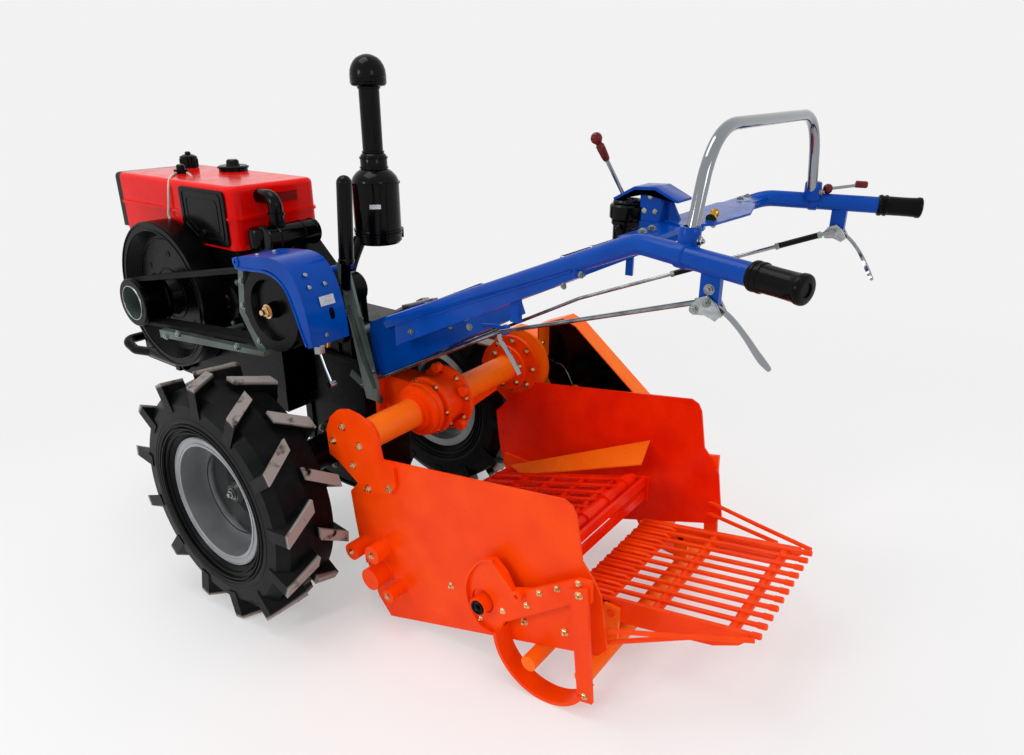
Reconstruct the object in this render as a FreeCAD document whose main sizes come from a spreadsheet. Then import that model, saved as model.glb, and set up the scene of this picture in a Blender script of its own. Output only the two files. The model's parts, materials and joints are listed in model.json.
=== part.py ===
"""Walking tractor with a rear-mounted potato digger, as a FreeCAD macro in millimetres.

The machine is drawn level, with its engine deck horizontal, and is then set down as it parks: on its
two tyres and on the two skid runners of the digger.

Level frame: +X is the machine's left side, -Y is forward, +Z is up. Y is measured from the wheel axle
and Z from the ground under the tyres.
"""
import FreeCAD
import Part
import math
import os

import Sketcher
from FreeCAD import Placement, Rotation, Vector

doc = FreeCAD.newDocument("potato_digger")
sheet = doc.addObject("Spreadsheet::Sheet", "Sizes")

# ---------------------------------------------------------------- driving dimensions
SIZES = {
    # wheels
    "tyre_od": (630, "diameter over the lug tips"),
    "lug_rise": (26, "height of a lug over the casing"),
    "lug_width": (30, "width of a lug across its length"),
    "lug_pairs": (13, "lugs in each of the two rows"),
    "tyre_width": (165, "casing width"),
    "rim_od": (336, "diameter of the rim flange"),
    "rim_width": (118, "width between the rim flanges"),
    "rim_wall": (5, "thickness of the rim sheet"),
    "track": (790, "distance between the tyre centre planes"),
    "hub_radius": (58, "radius of the wheel hub"),
    "axle_radius": (24, "radius of the half shaft"),
    "wheel_bolts": (5, "holes in the wheel disc"),
    "bolt_circle": (92, "diameter of the circle of wheel bolts"),
    "hub_inset": (34, "hub flange inboard of the tyre centre plane"),
    # gearbox
    "case_width": (150, "width of the gear case"),
    "case_front": (-125, "front wall of the gear case"),
    "case_rear": (140, "rear wall of the gear case"),
    "case_bottom": (190, "underside of the gear case"),
    "case_top": (590, "top of the gear case"),
    "neck_front": (-60, "front wall of the upper case"),
    "housing_radius": (46, "radius of an axle housing"),
    "housing_flange": (72, "radius of the flange of an axle housing"),
    "housing_end": (292, "outer end of an axle housing"),
    # engine
    "engine_width": (270, "width of the crankcase"),
    "engine_front": (-800, "front face of the crankcase"),
    "engine_rear": (-120, "rear face of the crankcase"),
    "engine_bottom": (470, "underside of the crankcase"),
    "engine_height": (368, "height of the crankcase"),
    "engine_wall": (13, "thickness of the crankcase walls"),
    "tank_width": (280, "width of the tank and hood"),
    "tank_front": (-812, "front of the red part of the hood"),
    "tank_rear": (-250, "rear of the tank"),
    "tank_height": (168, "height of the tank and hood over the crankcase"),
    "tank_wall": (4, "thickness of the hood sheet"),
    "tank_round": (28, "radius of the tank's upright corners"),
    "tank_edge": (15, "radius of the tank's top edges"),
    "seam_drop": (84, "middle of the seam, below the tank's top"),
    "seam_width": (8, "height of the raised seam"),
    "seam_depth": (5, "how far the seam stands out"),
    "grille_depth": (38, "length of the black end grille"),
    "crank_y": (-545, "crankshaft, from the axle"),
    "crank_z": (684, "crankshaft, over the ground"),
    "flywheel_radius": (213, "radius of the flywheel"),
    "flywheel_inner": (148, "inner face of the flywheel"),
    "flywheel_width": (66, "width of the flywheel rim"),
    "pulley_radius": (66, "radius of the engine belt pulley"),
    "pulley_inner": (218, "inner face of the belt pulley"),
    "pulley_width": (84, "width of the belt pulley"),
    "pulley_bore": (22, "radius of the bore in the pulley's mouth"),
    "driven_y": (97, "clutch pulley, from the axle"),
    "driven_z": (778, "clutch pulley, over the ground"),
    "driven_radius": (97, "radius of the clutch pulley"),
    "belt_width": (50, "width of the set of belts"),
    "belt_thick": (10, "thickness of a belt"),
    "belt_gap": (0.4, "running gap between belt and pulley"),
    # engine frame
    "rail_height": (70, "height of a frame rail"),
    "rail_width": (42, "width of a frame rail"),
    "rail_x": (112, "centre of a frame rail"),
    "rail_front": (-870, "front end of the frame rails"),
    "bumper_radius": (15, "radius of the bumper bar"),
    "bumper_y": (-930, "front of the bumper bar"),
    "bumper_half": (170, "half the width of the bumper"),
    "tow_radius": (13, "radius of the hole in the front tow plate"),
    # handlebars
    "box_half": (104, "half the width of the handle box"),
    "beam_radius": (16, "radius of a handlebar tube"),
    "beam_start_y": (292, "front end of a handlebar, from the axle"),
    "beam_start_z": (740, "front end of a handlebar, over the ground"),
    "bend_x": (278, "handlebar at its bend, from the middle"),
    "bend_y": (997, "handlebar at its bend, from the axle"),
    "bend_z": (1041, "handlebar at its bend, over the ground"),
    "grip_x": (374, "end of a grip, from the middle"),
    "grip_y": (1271, "end of a grip, from the axle"),
    "grip_z": (1034, "end of a grip, over the ground"),
    "grip_radius": (18.5, "radius of a grip"),
    "grip_flange": (21.5, "radius of the flanges of a grip"),
    "grip_length": (112, "length of a grip"),
    "hoop_radius": (9.5, "radius of the guard hoop bar"),
    "hoop_y": (1084, "guard hoop, from the axle"),
    "hoop_rise": (166, "height of the guard hoop over the handlebars"),
    "hoop_bend": (72, "bend radius of the guard hoop"),
    # digger
    "plate_x": (280, "middle of a side plate"),
    "plate_thick": (5, "thickness of a side plate"),
    "tube_y": (364, "cross tube, from the axle"),
    "tube_z": (534, "cross tube, over the ground"),
    "tube_radius": (35, "radius of the cross tube"),
    "bracket_thick": (9, "thickness of the brackets and of the skid webs"),
    "drive_flange": (10, "thickness of the drive box's flange"),
    "drive_width": (76, "width of the drive box"),
    "share_thick": (10, "thickness of the digging share"),
    "share_tip_y": (190, "cutting edge, from the axle"),
    "share_tip_z": (84, "cutting edge, over the ground"),
    "share_tip_half": (170, "half the width of the cutting edge"),
    "share_rear_y": (350, "rear edge of the share, from the axle"),
    "share_rear_z": (206, "rear edge of the share, over the ground"),
    "sieve_half": (185, "half the width of the sieve"),
    "sieve_front_y": (366, "front edge of the sieve, from the axle"),
    "sieve_front_z": (224, "front edge of the sieve, over the ground"),
    "sieve_length": (424, "length of the sieve, from its front edge to its end shaft"),
    "sieve_rise": (130, "rise of the sieve from its front edge to its end shaft"),
    "sieve_rods": (10, "rods along the sieve"),
    "rod_radius": (5, "radius of a sieve rod"),
    "bar_radius": (8, "radius of a cross bar under the rods"),
    "side_clear": (8, "gap beside a shaking sieve"),
    "screen_half": (165, "half the width of the rear screen"),
    "screen_front": (838, "front edge of the rear screen"),
    "screen_plate": (92, "length of the screen's ribbed plate"),
    "screen_z": (262, "front of the rear screen, over the ground"),
    "screen_length": (394, "length of the rear screen to the tips of its tines"),
    "screen_rise": (74, "rise of the tines to their tips"),
    "tines": (11, "tines of the rear screen"),
    "post_y": (938, "screen pivot, from the axle"),
    "post_z": (258, "screen pivot, over the ground"),
    "eccentric_y": (712, "eccentric shaft, from the axle"),
    "eccentric_z": (268, "eccentric shaft, over the ground"),
    "eccentric_radius": (17, "radius of the eccentric shaft"),
    "skid_y": (866, "centre of the skid runner's curve, from the axle"),
    "skid_z": (226, "centre of the skid runner's curve, over the ground"),
    "skid_radius": (115, "outer radius of the skid runner"),
    "skid_thick": (8, "thickness of the runner strip"),
    "skid_width": (44, "width of the runner strip"),
    "stay_radius": (17, "radius of the lower stay tubes"),
    "pin_radius": (8, "radius of the screen's pivot pins"),
    "pin_clear": (0.4, "gap around a pivot pin"),
}

for row, (alias, (value, note)) in enumerate(SIZES.items(), start=1):
    sheet.set(f"A{row}", note)
    sheet.set(f"B{row}", str(value))
    sheet.setAlias(f"B{row}", alias)
doc.recompute()


class Dim:
    """A length that carries its value and the sheet formula that gives it."""

    def __init__(self, value, text):
        self.value = float(value)
        self.text = text

    def __float__(self):
        return self.value

    def __add__(self, other):
        return Dim(self.value + float(other), f"({self.text} + {formula(other)})")

    def __sub__(self, other):
        return Dim(self.value - float(other), f"({self.text} - {formula(other)})")

    def __mul__(self, other):
        return Dim(self.value * float(other), f"({self.text} * {formula(other)})")

    def __truediv__(self, other):
        return Dim(self.value / float(other), f"({self.text} / {formula(other)})")

    def __neg__(self):
        return Dim(-self.value, f"(0 - {self.text})")

    def __radd__(self, other):
        return Dim(float(other), formula(other)) + self

    def __rsub__(self, other):
        return Dim(float(other), formula(other)) - self

    def __rmul__(self, other):
        return self * other


def formula(dim):
    """The sheet formula of a Dim, or the text of a plain number."""
    return dim.text if isinstance(dim, Dim) else f"({float(dim)})"


def bind(thing, prop, dim):
    """Tie one property of a feature to the sheet."""
    thing.setExpression(prop, formula(dim))


class Sizes:
    """The sheet's cells as Dims, by alias."""

    def __getattr__(self, alias):
        return Dim(sheet.get(alias), f"Sizes.{alias}")


s = Sizes()
axle = s.tyre_od / 2
engine_top = s.engine_bottom + s.engine_height
tank_top = engine_top + s.tank_height
seam_height = tank_top - s.seam_drop
sieve_rear_y = s.sieve_front_y + s.sieve_length
sieve_rear_z = s.sieve_front_z + s.sieve_rise
SIDES = (("left", 1), ("right", -1))
parts = []


# ---------------------------------------------------------------- the parked stance
def park_angle():
    """Degrees by which the level machine tips back until its skid runners touch the ground."""
    back = float(s.skid_y)
    rise = float(s.skid_z - axle)
    drop = float(axle - s.skid_radius)
    return math.degrees(math.atan2(rise, back) + math.asin(drop / math.hypot(back, rise)))


stance = Placement(Vector(0, 0, 0), Rotation(Vector(1, 0, 0), -park_angle()), Vector(0, 0, float(axle)))


def stand(part, place=None):
    """Set a finished sub-part down in the parked stance."""
    part.Placement = stance.multiply(place) if place else stance
    parts.append(part)
    return part


# ---------------------------------------------------------------- PartDesign helpers
def body(label):
    """An empty PartDesign body."""
    made = doc.addObject("PartDesign::Body", label)
    made.Label = label
    return made


def sketch_on(owner, role, offset):
    """A sketch on one of the body's own origin planes, moved along the plane's normal."""
    plane = next(face for face in owner.Origin.OriginFeatures if face.Role == role)
    sketch = owner.newObject("Sketcher::SketchObject", "Sketch")
    sketch.AttachmentSupport = [(plane, "")]
    sketch.MapMode = "FlatFace"
    bind(sketch, "AttachmentOffset.Base.z", offset)
    return sketch


def pin_point(sketch, curve, end, across, up):
    """Tie a point of the sketch to two lengths from its origin."""
    for kind, dim in (("DistanceX", across), ("DistanceY", up)):
        index = sketch.addConstraint(Sketcher.Constraint(kind, -1, 1, curve, end, float(dim)))
        if isinstance(dim, Dim):
            sketch.setExpression(f"Constraints[{index}]", dim.text)


def draw_polygon(sketch, points):
    """A closed outline through the points."""
    first = sketch.GeometryCount
    count = len(points)
    corners = [Vector(float(across), float(up), 0) for across, up in points]
    for i in range(count):
        sketch.addGeometry(Part.LineSegment(corners[i], corners[(i + 1) % count]), False)
    for i in range(count):
        sketch.addConstraint(Sketcher.Constraint("Coincident", first + i, 2, first + (i + 1) % count, 1))
    for i, (across, up) in enumerate(points):
        pin_point(sketch, first + i, 1, across, up)


def draw_circle(sketch, across, up, radius):
    """A circle about a point."""
    centre = Vector(float(across), float(up), 0)
    curve = sketch.addGeometry(Part.Circle(centre, Vector(0, 0, 1), float(radius)), False)
    pin_point(sketch, curve, 3, across, up)
    index = sketch.addConstraint(Sketcher.Constraint("Radius", curve, float(radius)))
    if isinstance(radius, Dim):
        sketch.setExpression(f"Constraints[{index}]", radius.text)


def pad(owner, sketch, length):
    """A pad along the sketch's normal."""
    feature = owner.newObject("PartDesign::Pad", "Pad")
    feature.Profile = sketch
    bind(feature, "Length", length)
    sketch.Visibility = False
    return feature


def pocket(owner, sketch, length):
    """A pocket against the sketch's normal."""
    feature = owner.newObject("PartDesign::Pocket", "Pocket")
    feature.Profile = sketch
    bind(feature, "Length", length)
    return feature


def slab(owner, points, start, width):
    """Material with an outline in Y and Z, from X = start over the width."""
    sketch = sketch_on(owner, "YZ_Plane", start)
    draw_polygon(sketch, points)
    return pad(owner, sketch, width)


def round_slab(owner, centre, radius, start, width):
    """A disc or tube along X."""
    sketch = sketch_on(owner, "YZ_Plane", start)
    draw_circle(sketch, *centre, radius)
    return pad(owner, sketch, width)


def cut_slab(owner, points, start, width):
    """Take away an outline in Y and Z, from X = start over the width."""
    sketch = sketch_on(owner, "YZ_Plane", start + width)
    draw_polygon(sketch, points)
    return pocket(owner, sketch, width)


def cut_round(owner, centre, radius, start, width):
    """Bore a round hole along X."""
    sketch = sketch_on(owner, "YZ_Plane", start + width)
    draw_circle(sketch, *centre, radius)
    return pocket(owner, sketch, width)


def turn(owner, points):
    """Material turned about the body's X axis, from an outline in X and radius."""
    sketch = sketch_on(owner, "XY_Plane", 0)
    draw_polygon(sketch, points)
    feature = owner.newObject("PartDesign::Revolution", "Revolution")
    feature.Profile = sketch
    feature.ReferenceAxis = (sketch, ["H_Axis"])
    feature.Angle = 360
    return feature


def repeat_about_x(owner, feature, count):
    """Copies of a feature, evenly spaced about the body's X axis."""
    axis = next(line for line in owner.Origin.OriginFeatures if line.Role == "X_Axis")
    pattern = owner.newObject("PartDesign::PolarPattern", "PolarPattern")
    pattern.Originals = [feature]
    pattern.Axis = (axis, [""])
    pattern.Angle = 360
    bind(pattern, "Occurrences", count)
    owner.Tip = pattern
    return pattern


def round_edges(owner, feature, radius, wanted):
    """Round the edges of a feature that a test picks out."""
    doc.recompute()
    names = [f"Edge{i}" for i, edge in enumerate(feature.Shape.Edges, start=1) if wanted(edge)]
    fillet = owner.newObject("PartDesign::Fillet", "Fillet")
    fillet.Base = (feature, names)
    bind(fillet, "Radius", radius)
    return fillet


def upright(edge):
    """True for a straight edge along Z."""
    line = edge.Vertexes[-1].Point - edge.Vertexes[0].Point
    return line.Length > 1 and abs(line.z) > 0.999 * line.Length


# ---------------------------------------------------------------- primitive helpers
def set_base(thing, base):
    """Tie a primitive's position to the sheet."""
    thing.Placement.Base = Vector(*(float(value) for value in base))
    for axis_name, value in zip("xyz", base):
        bind(thing, f"Placement.Base.{axis_name}", value)


def box(low, extent):
    """A Part::Box from its low corner."""
    made = doc.addObject("Part::Box", "Box")
    for prop, dim in zip(("Length", "Width", "Height"), extent):
        bind(made, prop, dim)
    set_base(made, low)
    return made


def rod(start, length, radius, direction):
    """A Part::Cylinder from a point along a direction."""
    made = doc.addObject("Part::Cylinder", "Cylinder")
    bind(made, "Radius", radius)
    bind(made, "Height", length)
    made.Placement.Rotation = Rotation(Vector(0, 0, 1), Vector(*direction))
    set_base(made, start)
    return made


def cross_rod(y, z, half, radius):
    """A round bar across the machine, centred on the middle."""
    return rod((-half, y, z), half * 2, radius, (1, 0, 0))


def fuse(label, pieces):
    """One sub-part from several primitives."""
    made = doc.addObject("Part::MultiFuse", label)
    made.Label = label
    made.Shapes = pieces
    return made


def feature(label, shape):
    """A sub-part whose shape comes from Part's own functions."""
    made = doc.addObject("Part::Feature", label)
    made.Label = label
    made.Shape = shape
    return made


def point(x, y, z):
    """A vector from Dims or numbers."""
    return Vector(float(x), float(y), float(z))


def bent_path(points, bend):
    """Straight runs through the points, joined by tangent arcs of one radius."""
    edges = []
    start = points[0]
    for before, corner, after in zip(points, points[1:], points[2:]):
        back = (before - corner).normalize()
        ahead = (after - corner).normalize()
        turn_angle = math.pi - back.getAngle(ahead)
        trim = bend * math.tan(turn_angle / 2)
        entry = corner + back * trim
        leave = corner + ahead * trim
        inward = (back + ahead).normalize()
        middle = corner + inward * (bend / math.cos(turn_angle / 2) - bend)
        edges.append(Part.LineSegment(start, entry).toShape())
        edges.append(Part.Arc(entry, middle, leave).toShape())
        start = leave
    edges.append(Part.LineSegment(start, points[-1]).toShape())
    return Part.Wire(edges)


def tube(points, radius, bend=None):
    """A round bar along a bent path."""
    path = bent_path(points, float(bend)) if len(points) > 2 else Part.makePolygon(points)
    ahead = points[1] - points[0]
    ring = Part.Wire(Part.makeCircle(float(radius), points[0], ahead))
    return path.makePipeShell([ring], True, False)


def plate(points, start, width):
    """A prism with an outline in Y and Z, from X = start over the width."""
    corners = [point(start, y, z) for y, z in points]
    face = Part.Face(Part.makePolygon(corners + corners[:1]))
    return face.extrude(point(width, 0, 0))


def join(shapes):
    """One clean solid from overlapping shapes."""
    return shapes[0].fuse(shapes[1:]).removeSplitter()


def mirrored(shape):
    """The same shape on the other side of the machine."""
    return shape.mirror(Vector(0, 0, 0), Vector(1, 0, 0))


# ---------------------------------------------------------------- wheels
def make_tyre(name, side):
    """Farm tyre: a casing with two rows of slanted lugs."""
    tyre = body(f"tyre_{name}")
    casing = s.tyre_od / 2 - s.lug_rise
    half = s.tyre_width / 2
    seat = s.rim_width / 2 - 0.4
    bead = s.rim_od / 2 - 18
    shoulder = [(half * 0.75, casing - 6), (half * 0.97, casing - 34), (half, casing - 74)]
    wall = [(seat + 12, s.rim_od / 2 + 12), (seat, s.rim_od / 2), (seat, bead)]
    right_half = [(0, casing)] + shoulder + wall
    left_half = [(-x, r) for x, r in reversed(right_half[1:])]
    turn(tyre, right_half + left_half)
    reach = 50
    tip = math.sqrt(float(axle) ** 2 - reach ** 2) / float(axle)
    root = casing - 52
    for row in (1, -1):
        sketch = sketch_on(tyre, "XY_Plane", root)
        inner = 3 * row
        outer = (half + 1) * row
        slant = 52
        draw_polygon(sketch, [(inner, -reach), (inner, s.lug_width - reach),
                              (outer, s.lug_width - reach + slant), (outer, slant - reach)])
        if row < 0:
            shift = Rotation(Vector(1, 0, 0), 180 / float(s.lug_pairs))
            sketch.AttachmentOffset = Placement(Vector(0, 0, 0), shift)
            angle = math.radians(180 / float(s.lug_pairs))
            bind(sketch, "AttachmentOffset.Base.z", root * math.cos(angle))
            bind(sketch, "AttachmentOffset.Base.y", root * -math.sin(angle))
        lug = pad(tyre, sketch, axle * tip - root)
        repeat_about_x(tyre, lug, s.lug_pairs)
    stand(tyre, wheel_place(side))


def wheel_place(side):
    """Where a wheel's centre sits, with its outer face outward."""
    turn_round = Rotation(Vector(0, 0, 1), 0 if side > 0 else 180)
    return Placement(point(s.track / 2 * side, 0, axle), turn_round)


def make_rim(name, side):
    """Steel wheel: a barrel with two flanges and a flat disc with bolt holes."""
    rim = body(f"rim_{name}")
    half = s.rim_width / 2
    lip = s.rim_od / 2
    seat = lip - 18
    edge = half + s.rim_wall
    turn(rim, [(-edge, lip), (-half, lip), (-half, seat), (half, seat), (half, lip), (edge, lip),
               (edge, seat - s.rim_wall), (-edge, seat - s.rim_wall)])
    face = -s.hub_inset
    turn(rim, [(face, 31), (face + 7, 31), (face + 7, 84), (face + 26, 112), (face + 26, seat - 2),
               (face + 19, seat - 2), (face + 19, 115), (face, 88)])
    sketch = sketch_on(rim, "YZ_Plane", face + 20)
    draw_circle(sketch, s.bolt_circle / 2, 0, 7)
    hole = pocket(rim, sketch, 40)
    repeat_about_x(rim, hole, s.wheel_bolts)
    stand(rim, wheel_place(side))


def make_hub(name, side):
    """Hub with its flange, its cap and the half shaft's outer end."""
    hub = body(f"hub_{name}")
    face = -s.hub_inset
    inner = s.housing_end - s.track / 2 + 0.6
    turn(hub, [(inner, 0), (inner, 38), (face - 14, 38), (face - 14, s.hub_radius), (face, s.hub_radius),
               (face, 30.6), (face + 40, 30.6), (face + 48, 22), (face + 48, 0)])
    stand(hub, wheel_place(side))


for name, side in SIDES:
    make_tyre(name, side)
    make_rim(name, side)
    make_hub(name, side)


# ---------------------------------------------------------------- gearbox
def make_gearbox():
    """Cast gear case between the wheels, with its upper case and both axle housings."""
    case = body("gearbox")
    half = s.case_width / 2
    slab(case, [(s.case_front, s.case_bottom + 40), (s.case_front + 40, s.case_bottom),
                (s.case_rear - 40, s.case_bottom), (s.case_rear, s.case_bottom + 40),
                (s.case_rear, s.case_top), (s.neck_front, s.case_top), (s.neck_front, 470),
                (s.case_front, 430)], -half, s.case_width)
    slab(case, [(-20, 462), (205, 462), (205, 700), (115, 846), (-20, 846)], -58, 116)
    round_slab(case, (0, axle), s.housing_radius, -s.housing_end, s.housing_end * 2)
    for start in (-half - 14, half, -s.housing_end, s.housing_end - 14):
        round_slab(case, (0, axle), s.housing_flange, start, 14)
    round_slab(case, (s.driven_y, s.driven_z), 40, 58, 30)
    round_slab(case, (160, 545), 11, -103.6, 207.2)
    stand(case)


make_gearbox()


# ---------------------------------------------------------------- engine frame
def make_front_frame():
    """Two rails under the engine, tied by plates, with a tow plate in front."""
    deck = s.engine_bottom
    half = s.rail_x + s.rail_width / 2
    length = s.case_front - s.rail_front
    low = deck - s.rail_height
    rails = [box((s.rail_x * side - s.rail_width / 2, s.rail_front, low),
                 (s.rail_width, length, s.rail_height)) for _, side in SIDES]
    ties = [box((-half, y, low), (half * 2, 12, s.rail_height))
            for y in (s.rail_front, s.engine_front + 200, s.case_front - 12)]
    tow = box((-45, s.rail_front - 40, low + 25), (90, 40, 16))
    solid = fuse("frame_steel", rails + ties + [tow])
    hole = rod((0, s.rail_front - 22, low + 20), 26, s.tow_radius, (0, 0, 1))
    frame = doc.addObject("Part::Cut", "front_frame")
    frame.Label = "front_frame"
    frame.Base = solid
    frame.Tool = hole
    stand(frame)


def make_bumper():
    """Bent bar in front of the frame, with its two arms bolted beside the rails."""
    level = s.engine_bottom - s.rail_height / 2
    reach = s.rail_x + s.rail_width / 2 + s.bumper_radius
    points = [point(-reach, -600, level), point(-reach, -800, level), point(-s.bumper_half, -870, level),
              point(-s.bumper_half, s.bumper_y, level + 20)]
    points += [point(-p.x, p.y, p.z) for p in reversed(points)]
    stand(feature("front_bumper", tube(points, s.bumper_radius, 28)))


make_front_frame()
make_bumper()


# ---------------------------------------------------------------- engine
def make_engine_block():
    """Horizontal single-cylinder crankcase, hollow, with the boss of the crankshaft."""
    block = body("engine_block")
    half = s.engine_width / 2
    wall = s.engine_wall
    front, rear, low, top = s.engine_front, s.engine_rear, s.engine_bottom, engine_top
    slab(block, [(front, low), (front, top - 150), (front + 60, top), (s.tank_rear - 10, top),
                 (rear, top - 130), (rear, low)], -half, s.engine_width)
    cut_slab(block, [(front + wall, low - 1), (front + wall, top - 160), (front + 66, top - wall),
                     (s.tank_rear - 20, top - wall), (rear - wall, top - 140), (rear - wall, low - 1)],
             wall - half, s.engine_width - wall * 2)
    round_slab(block, (s.crank_y, s.crank_z), 70, half, s.flywheel_inner - half - 0.5)
    stand(block)


def make_head():
    """Cylinder head cover on the front of the crankcase."""
    pieces = [box((-95, s.engine_front - 46, 500), (190, 46, 180))]
    pieces += [box((-105, s.engine_front - 40, 520 + 28 * i), (210, 34, 10)) for i in range(6)]
    stand(fuse("cylinder_head", pieces))


def make_tank():
    """Red fuel tank and hood, open below, with a raised seam around its sides."""
    tank = body("fuel_tank")
    half = s.tank_width / 2
    top, low = tank_top, engine_top

    def ring(out, start, height):
        sketch = sketch_on(tank, "XY_Plane", start)
        draw_polygon(sketch, [(-half - out, s.tank_front), (half + out, s.tank_front),
                              (half + out, s.tank_rear + out), (-half - out, s.tank_rear + out)])
        return pad(tank, sketch, height)

    def rear_corner(edge):
        return upright(edge) and edge.CenterOfMass.y > float(s.tank_front) + 50

    def seam_corner(edge):
        return rear_corner(edge) and abs(edge.CenterOfMass.x) > float(half) + 1

    def top_edge(edge):
        return (edge.BoundBox.ZMin > float(top) - 0.01
                and edge.BoundBox.YMax > float(s.tank_front) + 1)

    shell = ring(0, low, top - low)
    rounded = round_edges(tank, shell, s.tank_round, rear_corner)
    rounded.Label = "tank_corners"
    smooth = round_edges(tank, rounded, s.tank_edge, top_edge)
    smooth.Label = "tank_edges"
    seam = ring(s.seam_depth, seam_height - s.seam_width / 2, s.seam_width)
    seam.Label = "tank_seam"
    round_edges(tank, seam, s.tank_round + s.seam_depth, seam_corner)
    wall = s.tank_wall
    sketch = sketch_on(tank, "XY_Plane", top - s.tank_edge)
    inner = half - s.tank_round / 2
    draw_polygon(sketch, [(-inner, s.tank_front + wall), (inner, s.tank_front + wall),
                          (inner, s.tank_rear - s.tank_round / 2), (-inner, s.tank_rear - s.tank_round / 2)])
    pocket(tank, sketch, top - s.tank_edge - low + 1)
    stand(tank)


def make_tank_fittings():
    """Black caps on the tank, the blank side panel and the front end grille."""
    top = float(tank_top)
    caps = [Part.makeCylinder(radius, height, point(x, y, top))
            for x, y, radius, height in ((-60, -760, 26, 34), (-90, -570, 42, 14), (40, -640, 20, 12),
                                         (-90, -570, 18, 30))]
    side = s.tank_width / 2
    low, high = engine_top + 8, tank_top - 12
    seam_low, seam_high = seam_height - s.seam_width / 2 - 0.2, seam_height + s.seam_width / 2 + 0.2
    cover = side + s.seam_depth + 0.2
    panel = Part.makeBox(7.4, 208, float(high - low), point(side, -484, low))
    panel = panel.makeFillet(16, [edge for edge in panel.Edges if abs(edge.tangentAt(0).x) > 0.9])
    seat = Part.makeBox(float(cover - side), 208, float(seam_high - seam_low), point(side, -484, seam_low))
    depth = float(s.grille_depth)
    grille = Part.makeBox(float(s.tank_width), depth, top - float(low), point(-side, s.tank_front - depth, low))
    grille = grille.makeFillet(float(s.tank_edge), [edge for edge in grille.Edges
                                                    if edge.CenterOfMass.y < float(s.tank_front) - 1
                                                    and edge.CenterOfMass.z > float(low) + 1])
    stand(feature("tank_fittings", Part.makeCompound(caps[:1] + [join([caps[1], caps[3]])] + caps[2:3]
                                                     + [panel.cut(seat), grille])))


def make_muffler():
    """Exhaust drum behind the tank, with its elbow into the hood."""
    drum = Part.makeCylinder(34, 170, point(-66, -186, 872), Vector(1, 0, 0))
    elbow = tube([point(52, -186, 872), point(52, -186, 976), point(52, s.tank_rear, 976)], 19, 26)
    foot = plate([(-236, 816), (-236, 850), (-166, 850), (-166, 751)], -30, 60)
    stand(feature("muffler", join([drum, elbow, foot])))


make_engine_block()
make_head()
make_tank()
make_tank_fittings()
make_muffler()


# ---------------------------------------------------------------- flywheel, pulleys and belts
def make_flywheel():
    """Dished flywheel on the left of the engine."""
    wheel = body("flywheel")
    inner = s.flywheel_inner
    outer = inner + s.flywheel_width
    rim = s.flywheel_radius
    turn(wheel, [(inner, 0), (inner, rim), (outer, rim), (outer, rim - 26), (outer - 30, rim - 44),
                 (outer - 30, 62), (outer - 4, 52), (s.pulley_inner, 40), (s.pulley_inner, 0)])
    stand(wheel, Placement(point(0, s.crank_y, s.crank_z), Rotation()))


def make_belt_pulley():
    """Engine pulley with an open mouth; the belts run on its floor between two flanges."""
    pulley = body("belt_pulley")
    start = s.pulley_inner
    end = start + s.pulley_width
    floor = s.pulley_radius - s.belt_thick
    edge = (s.pulley_width - s.belt_width) / 2 - 1
    turn(pulley, [(start, 0), (start, s.pulley_radius), (start + edge, s.pulley_radius),
                  (start + edge, floor), (end - edge, floor), (end - edge, s.pulley_radius),
                  (end, s.pulley_radius), (end, 46), (end - 52, 40), (end - 52, s.pulley_bore),
                  (start + 6, s.pulley_bore), (start + 6, 0)])
    stand(pulley, Placement(point(0, s.crank_y, s.crank_z), Rotation()))


def make_clutch_pulley():
    """Clutch pulley on the gearbox's input shaft."""
    pulley = body("clutch_pulley")
    start = s.pulley_inner
    end = start + s.pulley_width
    edge = (s.pulley_width - s.belt_width) / 2 - 1
    floor = s.driven_radius - s.belt_thick
    shaft = 88.5
    turn(pulley, [(shaft, 0), (shaft, 24), (start, 24), (start, s.driven_radius),
                  (start + edge, s.driven_radius), (start + edge, floor), (end - edge, floor),
                  (end - edge, s.driven_radius), (end, s.driven_radius), (end, 72), (end - 14, 66),
                  (end - 14, 20), (end + 6, 16), (end + 6, 0)])
    stand(pulley, Placement(point(0, s.driven_y, s.driven_z), Rotation()))


def belt_loop(small, large):
    """Closed line around both pulleys, at a radius on each."""
    span = math.hypot(float(s.driven_y - s.crank_y), float(s.driven_z - s.crank_z))
    slope = math.atan2(float(s.driven_z - s.crank_z), float(s.driven_y - s.crank_y))
    lean = math.asin((large - small) / span)
    x = float(s.pulley_inner + s.pulley_width / 2 - s.belt_width / 2)

    def on(centre, radius, angle):
        y, z = centre
        return Vector(x, float(y) + radius * math.cos(angle), float(z) + radius * math.sin(angle))

    crank = (s.crank_y, s.crank_z)
    driven = (s.driven_y, s.driven_z)
    upper = slope + math.pi / 2 + lean
    lower = slope - math.pi / 2 - lean
    front = Part.Arc(on(crank, small, upper), on(crank, small, slope + math.pi), on(crank, small, lower))
    bottom = Part.LineSegment(on(crank, small, lower), on(driven, large, lower))
    rear = Part.Arc(on(driven, large, lower), on(driven, large, slope), on(driven, large, upper))
    back = Part.LineSegment(on(driven, large, upper), on(crank, small, upper))
    return Part.Wire([curve.toShape() for curve in (front, bottom, rear, back)])


def make_belts():
    """The set of drive belts, as one closed band."""
    thick = float(s.belt_thick)
    gap = float(s.belt_gap)
    small = float(s.pulley_radius) - thick + gap
    large = float(s.driven_radius) - thick + gap
    inner = Part.Face(belt_loop(small, large))
    outer = Part.Face(belt_loop(small + thick, large + thick))
    width = point(s.belt_width, 0, 0)
    stand(feature("drive_belts", outer.extrude(width).cut(inner.extrude(width))))


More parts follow.
